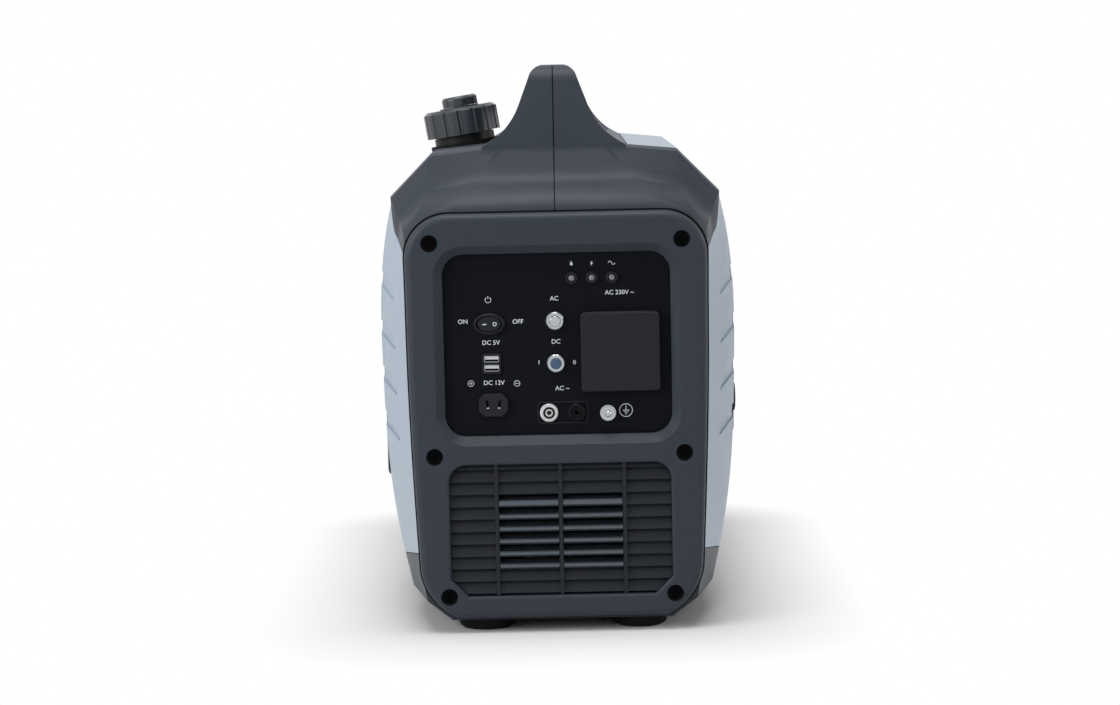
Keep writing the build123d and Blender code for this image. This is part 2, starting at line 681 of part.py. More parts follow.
# Earth terminal: stud, washers and nut
STUD_PROUD = 10.0
STUD_TIP_R = 2.5
NUT_HIGH = 3.6
WASHER_THICK = 1.6
with BuildPart() as earth_stud:
    with BuildSketch(at(EARTH, PANEL_FACE)):
        Circle(STUD_TIP_R)
    extrude(amount=STUD_PROUD)
    chamfer(earth_stud.faces().sort_by(Axis.Y)[0].edges(), length=0.6)
    with BuildSketch(at(EARTH, PANEL_FACE + PANEL_THICK)):
        Circle(STUD_R)
    extrude(amount=PANEL_THICK + WASHER_THICK + NUT_HIGH)
    with BuildSketch(at(EARTH, PANEL_FACE + PANEL_THICK)):
        RegularPolygon(5.6, 6)
    extrude(amount=-4)

write(earth_stud.part, "earth_stud")

with BuildPart() as earth_washer:
    with BuildSketch(at(EARTH, PANEL_FACE)):
        Circle(6.4)
        Circle(STUD_R + 0.1, mode=Mode.SUBTRACT)
    extrude(amount=WASHER_THICK)

write(earth_washer.part, "earth_washer")

with BuildPart() as earth_nut:
    with BuildSketch(at(EARTH, PANEL_FACE - WASHER_THICK)):
        RegularPolygon(5.8, 6)
        Circle(STUD_R + 0.1, mode=Mode.SUBTRACT)
    extrude(amount=NUT_HIGH)

write(earth_nut.part, "earth_nut")

# Mains socket behind its lid, and the lid on a pin behind its top edge
PLATE_THICK = 3.2
LID_THICK = 4.0
LID_BACK = PANEL_FACE - 3.6
HINGE_Y = PANEL_FACE - 2.2
HINGE_Z = LID[1] + LID_SIDE / 2 - 0.8
PIN_R = 0.8
EAR_X, EAR_WIDE, EAR_R = 28.0, 4.0, 1.3
KNUCKLE_HALF, KNUCKLE_R = 25.5, 1.5
PLUG_WELL_R, PLUG_WELL_DEEP = 19.0, 12.0
with BuildPart() as ac_socket:
    with BuildSketch(at(LID, PANEL_FACE)):
        with Locations((0, -3)):
            RectangleRounded(LID_SIDE - 4, LID_SIDE - 11, 4)
    extrude(amount=PLATE_THICK)
    with BuildSketch(at(LID, PANEL_FACE)):
        Circle(AC_BODY / 2 - FIT)
    extrude(amount=-26)
    with BuildSketch(at(LID, PANEL_FACE - PLATE_THICK)):
        Circle(PLUG_WELL_R)
    extrude(amount=-PLUG_WELL_DEEP, mode=Mode.SUBTRACT)
    with BuildSketch(at(LID, PANEL_FACE - PLATE_THICK + PLUG_WELL_DEEP)):
        with Locations(Location((-7.9, -4, 0), (0, 0, -30)), Location((7.9, -4, 0), (0, 0, 30)), (0, 7.5)):
            Rectangle(2.2, 7.4)
    extrude(amount=-14, mode=Mode.SUBTRACT)
    for side in (-1, 1):
        with BuildSketch(Plane.YZ.offset(LID[0] + side * EAR_X - EAR_WIDE / 2)):
            with BuildLine():
                Polyline((PANEL_FACE, HINGE_Z), (PANEL_FACE, HINGE_Z - 10),
                         (PANEL_FACE - PLATE_THICK, HINGE_Z - 10), (HINGE_Y - EAR_R + 0.1, HINGE_Z),
                         close=True)
            make_face()
            with Locations((HINGE_Y, HINGE_Z)):
                Circle(EAR_R)
                Circle(PIN_R, mode=Mode.SUBTRACT)
        extrude(amount=EAR_WIDE)

write(ac_socket.part, "ac_socket")

with BuildPart() as ac_lid:
    with BuildSketch(at(LID, LID_BACK)):
        RectangleRounded(LID_SIDE, LID_SIDE, 3)
    extrude(amount=LID_THICK)
    fillet(ac_lid.faces().sort_by(Axis.Y)[0].edges(), radius=1.4)
    with BuildSketch(Plane.YZ.offset(LID[0] - KNUCKLE_HALF)):
        with Locations((HINGE_Y, HINGE_Z)):
            Circle(KNUCKLE_R)
            with Locations((-0.8, -0.1)):
                Rectangle(1.6, 1.8)
            Circle(PIN_R + 0.05, mode=Mode.SUBTRACT)
    extrude(amount=2 * KNUCKLE_HALF)

write(ac_lid.part, "ac_socket_lid")

with BuildPart() as lid_pin:
    with BuildSketch(Plane.YZ.offset(LID[0] - EAR_X - EAR_WIDE / 2)):
        with Locations((HINGE_Y, HINGE_Z)):
            Circle(PIN_R)
    extrude(amount=2 * EAR_X + EAR_WIDE)

write(lid_pin.part, "lid_hinge_pin")

# Rear cover: the same outline as the bezel, with louvres and a hole for the tail pipe
TAIL_SPOT = (-45.0, 112.0)
TAIL_HOLE_R = 24.0
LOUVRE_MIDDLE = 236.0
with BuildPart() as rear_cover:
    with BuildSketch(at((0, 0), HALF_LENGTH)):
        add(bezel_outline())
        make_face()
    extrude(amount=HALF_LENGTH + BEZEL_BACK)
    fillet(rear_cover.faces().sort_by(Axis.Y)[-1].edges(), radius=6)
    with BuildSketch(at((0, LOUVRE_MIDDLE), HALF_LENGTH)):
        with GridLocations(88, 11, 2, 12):
            SlotOverall(78, 5)
    extrude(amount=40, mode=Mode.SUBTRACT)
    with BuildSketch(at(TAIL_SPOT, HALF_LENGTH)):
        Circle(TAIL_HOLE_R)
    extrude(amount=40, mode=Mode.SUBTRACT)
    with Locations([at((side * x, z), HALF_LENGTH, False) for x, z in SCREW_SPOTS for side in (-1, 1)]):
        CounterBoreHole(radius=2.6, counter_bore_radius=SCREW_WELL_R, counter_bore_depth=7.5, depth=40)

write(rear_cover.part, "rear_cover")

with BuildPart() as rear_screws:
    add(bezel_screws.part.mirror(Plane.XZ))

write(rear_screws.part, "rear_cover_screws")

# Fuel tank with its leaning filler neck
TANK_SIZE = (228.0, 250.0, 106.0)
TANK_MIDDLE = (0.0, -20.0, 315.0)
TANK_WALL = 2.0
NECK_BORE_R = 21.0
NECK_TOP = CAP_LOW + CAP_SKIRT - 5.0
THREAD_PITCH = 4.0


def tank_box(shrink):
    """Box of the tank with its long top edges cut back, shrunk on every side."""
    width, length, height = (side - 2 * shrink for side in TANK_SIZE)
    with BuildPart() as box:
        with Locations(TANK_MIDDLE):
            Box(width, length, height)
        chamfer(box.faces().sort_by(Axis.Z)[-1].edges().filter_by(Axis.Y), length=24 - shrink)
        fillet(box.edges().filter_by(Axis.Z), radius=16 - shrink)
    return box.part


with BuildPart() as tank:
    add(tank_box(0))
    with BuildSketch(filler_plane.offset(-30)):
        Circle(NECK_R)
    extrude(amount=30 + CAP_LOW - 1)
    with BuildSketch(filler_plane.offset(CAP_LOW - 1)):
        Circle(NECK_R - 1.2)
    extrude(amount=NECK_TOP - CAP_LOW + 1)
    for k in range(3):
        with BuildSketch(filler_plane.offset(CAP_LOW + 1 + k * THREAD_PITCH)):
            Circle(NECK_R - 0.4)
        extrude(amount=THREAD_PITCH / 2)
    add(tank_box(TANK_WALL), mode=Mode.SUBTRACT)
    with BuildSketch(filler_plane.offset(-34)):
        Circle(NECK_BORE_R)
    extrude(amount=34 + NECK_TOP, mode=Mode.SUBTRACT)

write(tank.part, "fuel_tank")

# Rubber sleeve between the neck and the shell
with BuildPart() as collar:
    with BuildSketch(filler_plane.offset(-9)):
        Circle(FILLER_HOLE_R - FIT)
        Circle(NECK_R + FIT, mode=Mode.SUBTRACT)
    extrude(amount=9 + 3)

write(collar.part, "filler_collar")

# Fuel cap with grip flutes, its gasket on the neck, and the vent knob on top
CAP_TOP = CAP_LOW + CAP_SKIRT
GASKET_THICK = 1.6
CAP_EDGE = 3.5
CAP_STEPS = [(CAP_LOW - 1, CAP_R + 1), (CAP_TOP - CAP_EDGE, CAP_R + 1), (CAP_TOP, CAP_R - CAP_EDGE)]
VENT_R, VENT_HIGH, VENT_STEM_R = 14.0, 10.0, 4.0
FLUTES = 16
with BuildPart() as gasket:
    with BuildSketch(filler_plane.offset(NECK_TOP)):
        Circle(NECK_R - 1.2)
        Circle(NECK_BORE_R, mode=Mode.SUBTRACT)
    extrude(amount=GASKET_THICK)

write(gasket.part, "fuel_cap_gasket")

with BuildPart() as cap:
    with BuildSketch(filler_plane.offset(CAP_LOW)):
        Circle(CAP_R)
        with PolarLocations(CAP_R + 0.5, FLUTES):
            Circle(1.8, mode=Mode.SUBTRACT)
    extrude(amount=CAP_SKIRT)
    for height, radius in CAP_STEPS:
        with BuildSketch(filler_plane.offset(height)):
            Circle(radius)
    loft(ruled=True, mode=Mode.INTERSECT)
    with BuildSketch(filler_plane.offset(CAP_TOP)):
        Circle(VENT_R + 3)
    extrude(amount=1.0)
    with BuildSketch(filler_plane.offset(CAP_LOW)):
        Circle(NECK_R + FIT)
    extrude(amount=NECK_TOP + GASKET_THICK - CAP_LOW, mode=Mode.SUBTRACT)
    with BuildSketch(filler_plane.offset(CAP_LOW)):
        Circle(VENT_STEM_R + 0.05)
    extrude(amount=CAP_SKIRT + 5, mode=Mode.SUBTRACT)

write(cap.part, "fuel_cap")

with BuildPart() as vent_knob:
    with BuildSketch(filler_plane.offset(CAP_TOP + 1.2)):
        Circle(VENT_R)
        with Locations((VENT_R, 0)):
            Rectangle(5, 7)
    extrude(amount=VENT_HIGH - 1.2)
    fillet(vent_knob.faces().sort_by(Axis(FILLER, filler_plane.z_dir))[-1].edges(), radius=3)
    with BuildSketch(filler_plane.offset(CAP_TOP + 1.2)):
        Circle(VENT_STEM_R)
    extrude(amount=-4.6)

write(vent_knob.part, "vent_knob")

# Engine dial on the right flank: a fixed seat in the panel, and a knob on a shaft
SEAT_BACK, SEAT_FACE = 137.0, 145.0
DIAL_SHAFT_R = 4.0
with BuildPart() as dial_seat:
    with BuildSketch(flank_plane(DIAL, 1).offset(SEAT_BACK)):
        Circle(DIAL_R + 3 - FIT)
        Circle(DIAL_SHAFT_R + 0.05, mode=Mode.SUBTRACT)
    extrude(amount=SEAT_FACE - SEAT_BACK)

write(dial_seat.part, "dial_seat")

with BuildPart() as dial:
    with BuildSketch(flank_plane(DIAL, 1).offset(SEAT_FACE + FIT)):
        Circle(DIAL_R)
    extrude(amount=1.4)
    with BuildSketch(flank_plane(DIAL, 1).offset(SEAT_FACE + FIT)):
        SlotOverall(2 * DIAL_R - 2, 8)
    extrude(amount=FLANK_REACH - SEAT_FACE - FIT)
    fillet(dial.faces().sort_by(Axis.X)[-1].edges(), radius=0.8)
    with BuildSketch(flank_plane(DIAL, 1).offset(SEAT_FACE + FIT)):
        Circle(DIAL_SHAFT_R)
    extrude(amount=-18)

write(dial.part, "engine_dial")

# Starter grip in its cup on the right flank, with the rope that runs over the pulley
CUP_FLOOR, CUP_RIM, CUP_WALL = 98.0, 147.6, 2.6
ROPE_THICK_R = 2.2
ROPE_TAIL = -122.0
GRIP_FOOT, GRIP_NECK = 106.0, 128.0
grip_plane = flank_plane((GRIP_Y, GRIP_Z), 1)
cup_width, cup_height, cup_r = (side - 2 * FIT for side in GRIP_CUP)
with BuildPart() as grip_cup:
    with BuildSketch(grip_plane.offset(CUP_FLOOR)):
        RectangleRounded(cup_width, cup_height, cup_r)
    extrude(amount=CUP_RIM - CUP_FLOOR)
    with BuildSketch(grip_plane.offset(CUP_FLOOR + CUP_WALL)):
        RectangleRounded(cup_width - 2 * CUP_WALL, cup_height - 2 * CUP_WALL, cup_r - CUP_WALL)
    extrude(amount=CUP_RIM - CUP_FLOOR, mode=Mode.SUBTRACT)
    with BuildSketch(grip_plane.offset(CUP_FLOOR)):
        Circle(ROPE_THICK_R + 0.8)
    extrude(amount=CUP_WALL, mode=Mode.SUBTRACT)

write(grip_cup.part, "grip_cup")

with BuildPart() as starter_grip:
    with BuildSketch(grip_plane.offset(GRIP_FOOT)):
        SlotOverall(26, 18)
    with BuildSketch(grip_plane.offset(GRIP_NECK)):
        SlotOverall(40, 22)
    loft()
    with BuildSketch(grip_plane.offset(GRIP_NECK)):
        SlotOverall(56, 28)
    extrude(amount=FLANK_REACH - GRIP_NECK)
    fillet(starter_grip.faces().sort_by(Axis.X)[-1].edges(), radius=4)

write(starter_grip.part, "starter_grip")

with BuildPart() as starter_rope:
    with BuildSketch(grip_plane.offset(ROPE_TAIL)):
        Circle(ROPE_THICK_R)
    extrude(amount=GRIP_FOOT - ROPE_TAIL)

write(starter_rope.part, "starter_rope")

# Vent insert on the left flank
VENT_BACK, VENT_SKIN = 126.0, 5.0
vent_plane = flank_plane((VENT_Y, VENT_Z), -1)
vent_width, vent_height, vent_r = (side - 2 * FIT for side in VENT_SIZE)
with BuildPart() as vent_insert:
    with BuildSketch(vent_plane.offset(VENT_BACK)):
        RectangleRounded(vent_width, vent_height, vent_r)
    extrude(amount=FLANK_REACH - VENT_BACK)
    fillet(vent_insert.faces().sort_by(Axis.X)[0].edges(), radius=4)
    with BuildSketch(vent_plane.offset(VENT_BACK)):
        RectangleRounded(vent_width - 8, vent_height - 8, vent_r - 4)
    extrude(amount=FLANK_REACH - VENT_BACK - VENT_SKIN, mode=Mode.SUBTRACT)
    with BuildSketch(vent_plane.offset(VENT_BACK)):
        with GridLocations(0, 12, 1, 6):
            SlotOverall(76, 5)
    extrude(amount=FLANK_REACH, mode=Mode.SUBTRACT)

write(vent_insert.part, "side_vent_insert")


def crank_plane(y):
    """Sketch plane across the crank at y, facing the rear."""
    return Plane((0, y, CRANK_Z), x_dir=(-1, 0, 0), z_dir=(0, 1, 0))


# Crankcase: a box round the crank with a hollow for its webs, and an opening up into the cylinder
CASE_FRONT, CASE_REAR = -35.0, 75.0
CASE_HALF, CASE_LOW, CASE_TOP = 72.0, 70.0, 182.0
HOLLOW_R, HOLLOW_FRONT, HOLLOW_REAR = 45.0, -19.0, 59.0
SHAFT_R = 10.0
BORE_R = 24.0
CYLINDER_Y = 20.0
with BuildPart() as crankcase:
    with BuildSketch(crank_plane(CASE_FRONT)):
        with Locations((0, (CASE_LOW + CASE_TOP) / 2 - CRANK_Z)):
            RectangleRounded(2 * CASE_HALF, CASE_TOP - CASE_LOW, 14)
    extrude(amount=CASE_REAR - CASE_FRONT)
    with BuildSketch(crank_plane(CASE_FRONT)):
        Circle(22)
    extrude(amount=-4)
    with BuildSketch(crank_plane(HOLLOW_FRONT)):
        Circle(HOLLOW_R)
    extrude(amount=HOLLOW_REAR - HOLLOW_FRONT, mode=Mode.SUBTRACT)
    with BuildSketch(crank_plane(CASE_FRONT - 10)):
        Circle(SHAFT_R + 0.05)
    extrude(amount=CASE_REAR - CASE_FRONT + 20, mode=Mode.SUBTRACT)
    with BuildSketch(Plane((0, CYLINDER_Y, CRANK_Z))):
        Circle(BORE_R)
    extrude(amount=CASE_TOP - CRANK_Z, mode=Mode.SUBTRACT)

write(crankcase.part, "crankcase")

# Cylinder with cooling fins, closed by its head, and the cover over the valves
HEAD_TOP = 238.0
FIN_HALF, BARREL_HALF, FIN_COUNT = 50.0, 36.0, 6
with BuildPart() as cylinder:
    with BuildSketch(Plane((0, CYLINDER_Y, CASE_TOP))):
        RectangleRounded(2 * BARREL_HALF, 2 * BARREL_HALF, 8)
    extrude(amount=HEAD_TOP - CASE_TOP)
    for k in range(FIN_COUNT):
        with BuildSketch(Plane((0, CYLINDER_Y, CASE_TOP + 5 + 8.6 * k))):
            RectangleRounded(2 * FIN_HALF, 2 * FIN_HALF, 10)
        extrude(amount=3)
    with BuildSketch(Plane((0, CYLINDER_Y, CASE_TOP))):
        Circle(BORE_R)
    extrude(amount=HEAD_TOP - CASE_TOP - 14, mode=Mode.SUBTRACT)

write(cylinder.part, "cylinder")

with BuildPart() as head_cover:
    with BuildSketch(Plane((0, CYLINDER_Y, HEAD_TOP))):
        RectangleRounded(78, 70, 12)
    extrude(amount=18)
    fillet(head_cover.faces().sort_by(Axis.Z)[-1].edges(), radius=5)

write(head_cover.part, "head_cover")

# Crankshaft with two webs and a pin between them
SHAFT_FRONT, SHAFT_REAR = -99.0, 88.0
WEB_R, WEB_THICK, PIN_THROW = 40.0, 16.0, 24.0
with BuildPart() as crankshaft:
    with BuildSketch(crank_plane(SHAFT_FRONT)):
        Circle(SHAFT_R)
    extrude(amount=SHAFT_REAR - SHAFT_FRONT)
    with BuildSketch(crank_plane(HOLLOW_FRONT + 8)):
        Circle(WEB_R)
    extrude(amount=HOLLOW_REAR - HOLLOW_FRONT - 16)
    with BuildSketch(crank_plane(HOLLOW_FRONT + 8 + WEB_THICK)):
        Circle(WEB_R + 2)
        with Locations((0, -PIN_THROW)):
            Circle(9, mode=Mode.SUBTRACT)
    extrude(amount=HOLLOW_REAR - HOLLOW_FRONT - 16 - 2 * WEB_THICK, mode=Mode.SUBTRACT)

write(crankshaft.part, "crankshaft")

# Alternator: outer rotor drum on the crank, stator on the crankcase nose inside it
ROTOR_FRONT, ROTOR_REAR, ROTOR_R = -80.0, -42.0, 72.0
STATOR_R, POLES = 62.0, 12
with BuildPart() as rotor:
    with BuildSketch(crank_plane(ROTOR_FRONT)):
        Circle(ROTOR_R)
    extrude(amount=ROTOR_REAR - ROTOR_FRONT)
    with BuildSketch(crank_plane(ROTOR_FRONT + 5)):
        Circle(ROTOR_R - 7)
    extrude(amount=ROTOR_REAR - ROTOR_FRONT, mode=Mode.SUBTRACT)
    with BuildSketch(crank_plane(ROTOR_FRONT)):
        Circle(SHAFT_R)
    extrude(amount=20, mode=Mode.SUBTRACT)

write(rotor.part, "rotor_drum")

with BuildPart() as stator:
    with BuildSketch(crank_plane(-70)):
        Circle(STATOR_R)
        Circle(30, mode=Mode.SUBTRACT)
        with PolarLocations(STATOR_R - 10, POLES):
            Rectangle(26, 6, mode=Mode.SUBTRACT)
    extrude(amount=24)
    with BuildSketch(crank_plane(-70)):
        Circle(34)
        Circle(24, mode=Mode.SUBTRACT)
    extrude(amount=CASE_FRONT + 70)

write(stator.part, "stator")

# Cooling fan in front of the drum, and the recoil starter in front of the fan
FAN_FRONT, FAN_REAR, FAN_R, BLADES = -99.0, -80.4, 80.0, 11
with BuildPart() as fan:
    with BuildSketch(crank_plane(FAN_REAR - 3)):
        Circle(FAN_R)
    extrude(amount=3)
    with BuildSketch(crank_plane(FAN_FRONT)):
        Circle(34)
        Circle(29, mode=Mode.SUBTRACT)
        with PolarLocations(58, BLADES):
            Rectangle(36, 3, rotation=24)
    extrude(amount=FAN_REAR - FAN_FRONT - 1)
    with BuildSketch(crank_plane(FAN_FRONT)):
        Circle(SHAFT_R)
    extrude(amount=FAN_REAR - FAN_FRONT, mode=Mode.SUBTRACT)

write(fan.part, "cooling_fan")

PULLEY_FRONT, PULLEY_REAR = GRIP_Y - 7.0, GRIP_Y + 7.0
GROOVE_HALF, PULLEY_RIM_R = 3.0, 45.0
GROOVE_R = ROPE_R - ROPE_THICK_R - FIT
PIVOT_R = 6.0
with BuildPart() as pulley:
    with BuildSketch(crank_plane(PULLEY_FRONT)):
        Circle(PULLEY_RIM_R)
    extrude(amount=PULLEY_REAR - PULLEY_FRONT)
    with BuildSketch(crank_plane(GRIP_Y - GROOVE_HALF)):
        Circle(PULLEY_RIM_R + 5)
        Circle(GROOVE_R, mode=Mode.SUBTRACT)
    extrude(amount=2 * GROOVE_HALF, mode=Mode.SUBTRACT)
    with BuildSketch(crank_plane(PULLEY_FRONT)):
        Circle(PIVOT_R + 0.05)
        with PolarLocations(22, 6):
            Circle(6)
    extrude(amount=PULLEY_REAR - PULLEY_FRONT, mode=Mode.SUBTRACT)

write(pulley.part, "starter_pulley")

with BuildPart() as starter_housing:
    with BuildSketch(crank_plane(PULLEY_FRONT - 1)):
        Circle(62)
        with PolarLocations(46, 8):
            SlotOverall(18, 8, mode=Mode.SUBTRACT)
    extrude(amount=-4)
    with BuildSketch(crank_plane(PULLEY_FRONT - 1)):
        Circle(PIVOT_R)
    extrude(amount=PULLEY_REAR - PULLEY_FRONT + 2)

write(starter_housing.part, "starter_housing")

# Carburettor on the right of the cylinder, with its float bowl, and the air filter box beside it
CARB_Z = 208.0
CARB_START, CARB_END = FIN_HALF + FIT, 88.0
with BuildPart() as carburettor:
    with BuildSketch(flank_plane((CYLINDER_Y, CARB_Z), 1).offset(CARB_START)):
        Circle(18)
    extrude(amount=CARB_END - CARB_START)
    with BuildSketch(Plane((70, CYLINDER_Y, CARB_Z))):
        Circle(15)
    extrude(amount=-24)
    with BuildSketch(flank_plane((CYLINDER_Y, CARB_Z), 1).offset(CARB_START)):
        Circle(10)
    extrude(amount=CARB_END - CARB_START, mode=Mode.SUBTRACT)

write(carburettor.part, "carburettor")

with BuildPart() as filter_box:
    with BuildSketch(flank_plane((CYLINDER_Y, CARB_Z), 1).offset(CARB_END)):
        RectangleRounded(110, 76, 10)
    extrude(amount=40)
    with BuildSketch(flank_plane((CYLINDER_Y, CARB_Z), 1).offset(CARB_END + 2)):
        RectangleRounded(106, 72, 8)
    extrude(amount=36, mode=Mode.SUBTRACT)
    with BuildSketch(flank_plane((CYLINDER_Y, CARB_Z), 1).offset(CARB_END)):
        Circle(10)
    extrude(amount=2, mode=Mode.SUBTRACT)
    with BuildSketch(flank_plane((CYLINDER_Y, CARB_Z), 1).offset(CARB_END + 38)):
        with GridLocations(0, 12, 1, 4):
            SlotOverall(80, 4)
    extrude(amount=2, mode=Mode.SUBTRACT)

write(filter_box.part, "air_filter_box")

TANK_FLOOR = TANK_MIDDLE[2] - TANK_SIZE[2] / 2
with BuildPart() as fuel_hose:
    with BuildSketch(Plane((70, CYLINDER_Y, CARB_Z + 18))):
        Circle(5)
        Circle(3, mode=Mode.SUBTRACT)
    extrude(amount=TANK_FLOOR - CARB_Z - 18)

write(fuel_hose.part, "fuel_hose")

with BuildPart() as spark_plug:
    with BuildSketch(flank_plane((CYLINDER_Y, HEAD_TOP + 8), -1).offset(39)):
        RegularPolygon(9, 6)
    extrude(amount=8)
    with BuildSketch(flank_plane((CYLINDER_Y, HEAD_TOP + 8), -1).offset(47)):
        Circle(6)
    extrude(amount=22)

write(spark_plug.part, "spark_plug")

# Muffler behind the engine, fed from the cylinder, and the tail pipe through the rear cover
MUFFLER_FRONT, MUFFLER_REAR, MUFFLER_WALL = 110.0, 206.0, 4.0
EXHAUST_Z = 205.0
with BuildPart() as muffler:
    with BuildSketch(at((0, 160), MUFFLER_REAR)):
        RectangleRounded(170, 120, 34)
    extrude(amount=MUFFLER_REAR - MUFFLER_FRONT)
    fillet(muffler.faces().filter_by(Plane.XZ).edges(), radius=8)
    with BuildSketch(at((0, EXHAUST_Z), MUFFLER_FRONT)):
        Circle(13)
    extrude(amount=MUFFLER_FRONT - CYLINDER_Y - FIN_HALF)
    with BuildSketch(at((0, 160), MUFFLER_REAR - MUFFLER_WALL)):
        RectangleRounded(170 - 2 * MUFFLER_WALL, 120 - 2 * MUFFLER_WALL, 34 - MUFFLER_WALL)
    extrude(amount=MUFFLER_REAR - MUFFLER_FRONT - 2 * MUFFLER_WALL, mode=Mode.SUBTRACT)
    with BuildSketch(at((0, EXHAUST_Z), MUFFLER_FRONT + MUFFLER_WALL)):
        Circle(10)
    extrude(amount=MUFFLER_FRONT + MUFFLER_WALL - CYLINDER_Y - FIN_HALF, mode=Mode.SUBTRACT)

write(muffler.part, "muffler")

TAIL_R = 15.0
with BuildPart() as tail_pipe:
    with BuildSketch(at(TAIL_SPOT, MUFFLER_REAR)):
        Circle(TAIL_R + 7)
    extrude(amount=-4)
    with BuildSketch(at(TAIL_SPOT, MUFFLER_REAR)):
        Circle(TAIL_R)
    extrude(amount=MUFFLER_REAR - HALF_LENGTH + 3)
    with BuildSketch(at(TAIL_SPOT, HALF_LENGTH)):
        Circle(TAIL_R - 2)
    extrude(amount=HALF_LENGTH - MUFFLER_REAR - 3, mode=Mode.SUBTRACT)

write(tail_pipe.part, "tail_pipe")

# Inverter module behind the control panel, with cooling fins at its rear
INVERTER_FRONT, INVERTER_REAR = -212.0, -178.0
with BuildPart() as inverter:
    with BuildSketch(at((0, 200), INVERTER_REAR)):
        RectangleRounded(180, 110, 6)
    extrude(amount=INVERTER_REAR - INVERTER_FRONT)
    with BuildSketch(at((0, 200), INVERTER_REAR)):
        with GridLocations(12, 0, 14, 1):
            Rectangle(3, 104)
    extrude(amount=-18)

write(inverter.part, "inverter_module")

# Rubber mounts between the tray floor and the crankcase
MOUNT_SPOTS = [(-54, -16), (54, -16), (-54, 56), (54, 56)]
TRAY_FLOOR = END_OUTLINE[0][1] + WALL
with BuildPart() as mounts:
    with BuildSketch(Plane.XY.offset(TRAY_FLOOR)):
        with Locations(*MOUNT_SPOTS):
            Circle(18)
    extrude(amount=12)
    with BuildSketch(Plane.XY.offset(TRAY_FLOOR)):
        with Locations(*MOUNT_SPOTS):
            Circle(13)
    extrude(amount=CASE_LOW - TRAY_FLOOR)

write(mounts.part, "engine_mounts")
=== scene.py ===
"""Looks of a portable inverter generator, laid out as an add-on and run as a script."""

import json
import math

import bmesh
import bpy
from bpy.props import FloatProperty, FloatVectorProperty, PointerProperty
from bpy.types import Operator, Panel, PropertyGroup
from mathutils import Matrix, Vector


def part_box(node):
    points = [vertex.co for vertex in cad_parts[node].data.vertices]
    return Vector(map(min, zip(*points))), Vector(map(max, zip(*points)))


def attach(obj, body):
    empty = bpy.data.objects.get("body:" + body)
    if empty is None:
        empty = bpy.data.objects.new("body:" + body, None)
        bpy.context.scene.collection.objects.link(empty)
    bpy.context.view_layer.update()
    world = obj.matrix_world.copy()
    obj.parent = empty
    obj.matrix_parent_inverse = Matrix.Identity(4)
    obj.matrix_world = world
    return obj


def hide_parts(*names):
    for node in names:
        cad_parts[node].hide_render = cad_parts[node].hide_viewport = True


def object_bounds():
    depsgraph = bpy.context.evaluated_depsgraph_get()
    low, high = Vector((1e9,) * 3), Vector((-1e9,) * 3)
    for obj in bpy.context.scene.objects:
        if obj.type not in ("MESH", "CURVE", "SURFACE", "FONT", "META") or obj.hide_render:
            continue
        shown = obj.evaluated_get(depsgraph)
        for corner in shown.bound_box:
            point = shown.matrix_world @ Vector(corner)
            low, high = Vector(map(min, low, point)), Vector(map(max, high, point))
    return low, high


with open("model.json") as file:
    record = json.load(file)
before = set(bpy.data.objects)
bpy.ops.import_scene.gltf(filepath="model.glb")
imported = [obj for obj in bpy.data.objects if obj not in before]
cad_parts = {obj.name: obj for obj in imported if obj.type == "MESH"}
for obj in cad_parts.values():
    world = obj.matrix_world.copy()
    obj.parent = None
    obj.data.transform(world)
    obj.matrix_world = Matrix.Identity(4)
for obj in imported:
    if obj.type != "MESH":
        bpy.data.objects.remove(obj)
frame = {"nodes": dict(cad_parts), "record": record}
CAD_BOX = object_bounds()
NODES = frame["nodes"]
BODY_OF = {node: body for body, nodes in frame["record"]["behaviour"]["bodies"].items() for node in nodes}

bl_info = {
    "name": "Portable Generator Looks",
    "version": (1, 0, 0),
    "blender": (4, 5, 0),
    "location": "View3D > Sidebar > Generator",
    "description": "Finishes, printed marks, trim and stage for a suitcase inverter generator",
    "category": "Object",
}

MM = 0.001
PANEL_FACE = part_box("control_panel")[0].y
# Heights on the control plate are given from the CAD's datum plane, which is this far above the floor
DATUM = 5.0
# Distances in metres at which points of a CAD mesh count as one, and as lying on a flat face
SAME_POINT = 2e-6
ON_FACE = 1e-5
# Edges that bend less than this are shaded smooth
SMOOTH_BEND = math.radians(32.0)
FULL_TURN = 2 * math.pi
# Where the floor's shadow starts to fade, in metres from the object's sole
SHADOW_START = 0.01
# The point that the lamps face
LIT_POINT = Vector((0.0, -0.1, 0.2))


def colour(name, description, default):
    """A colour property."""
    return FloatVectorProperty(name=name, description=description, default=default, subtype="COLOR",
                               size=3, min=0.0, max=1.0)


def length(name, description, millimetres):
    """A length property, given in millimetres."""
    return FloatProperty(name=name, description=description, default=millimetres * MM, unit="LENGTH")


def number(name, description, default):
    """A plain number property."""
    return FloatProperty(name=name, description=description, default=default)


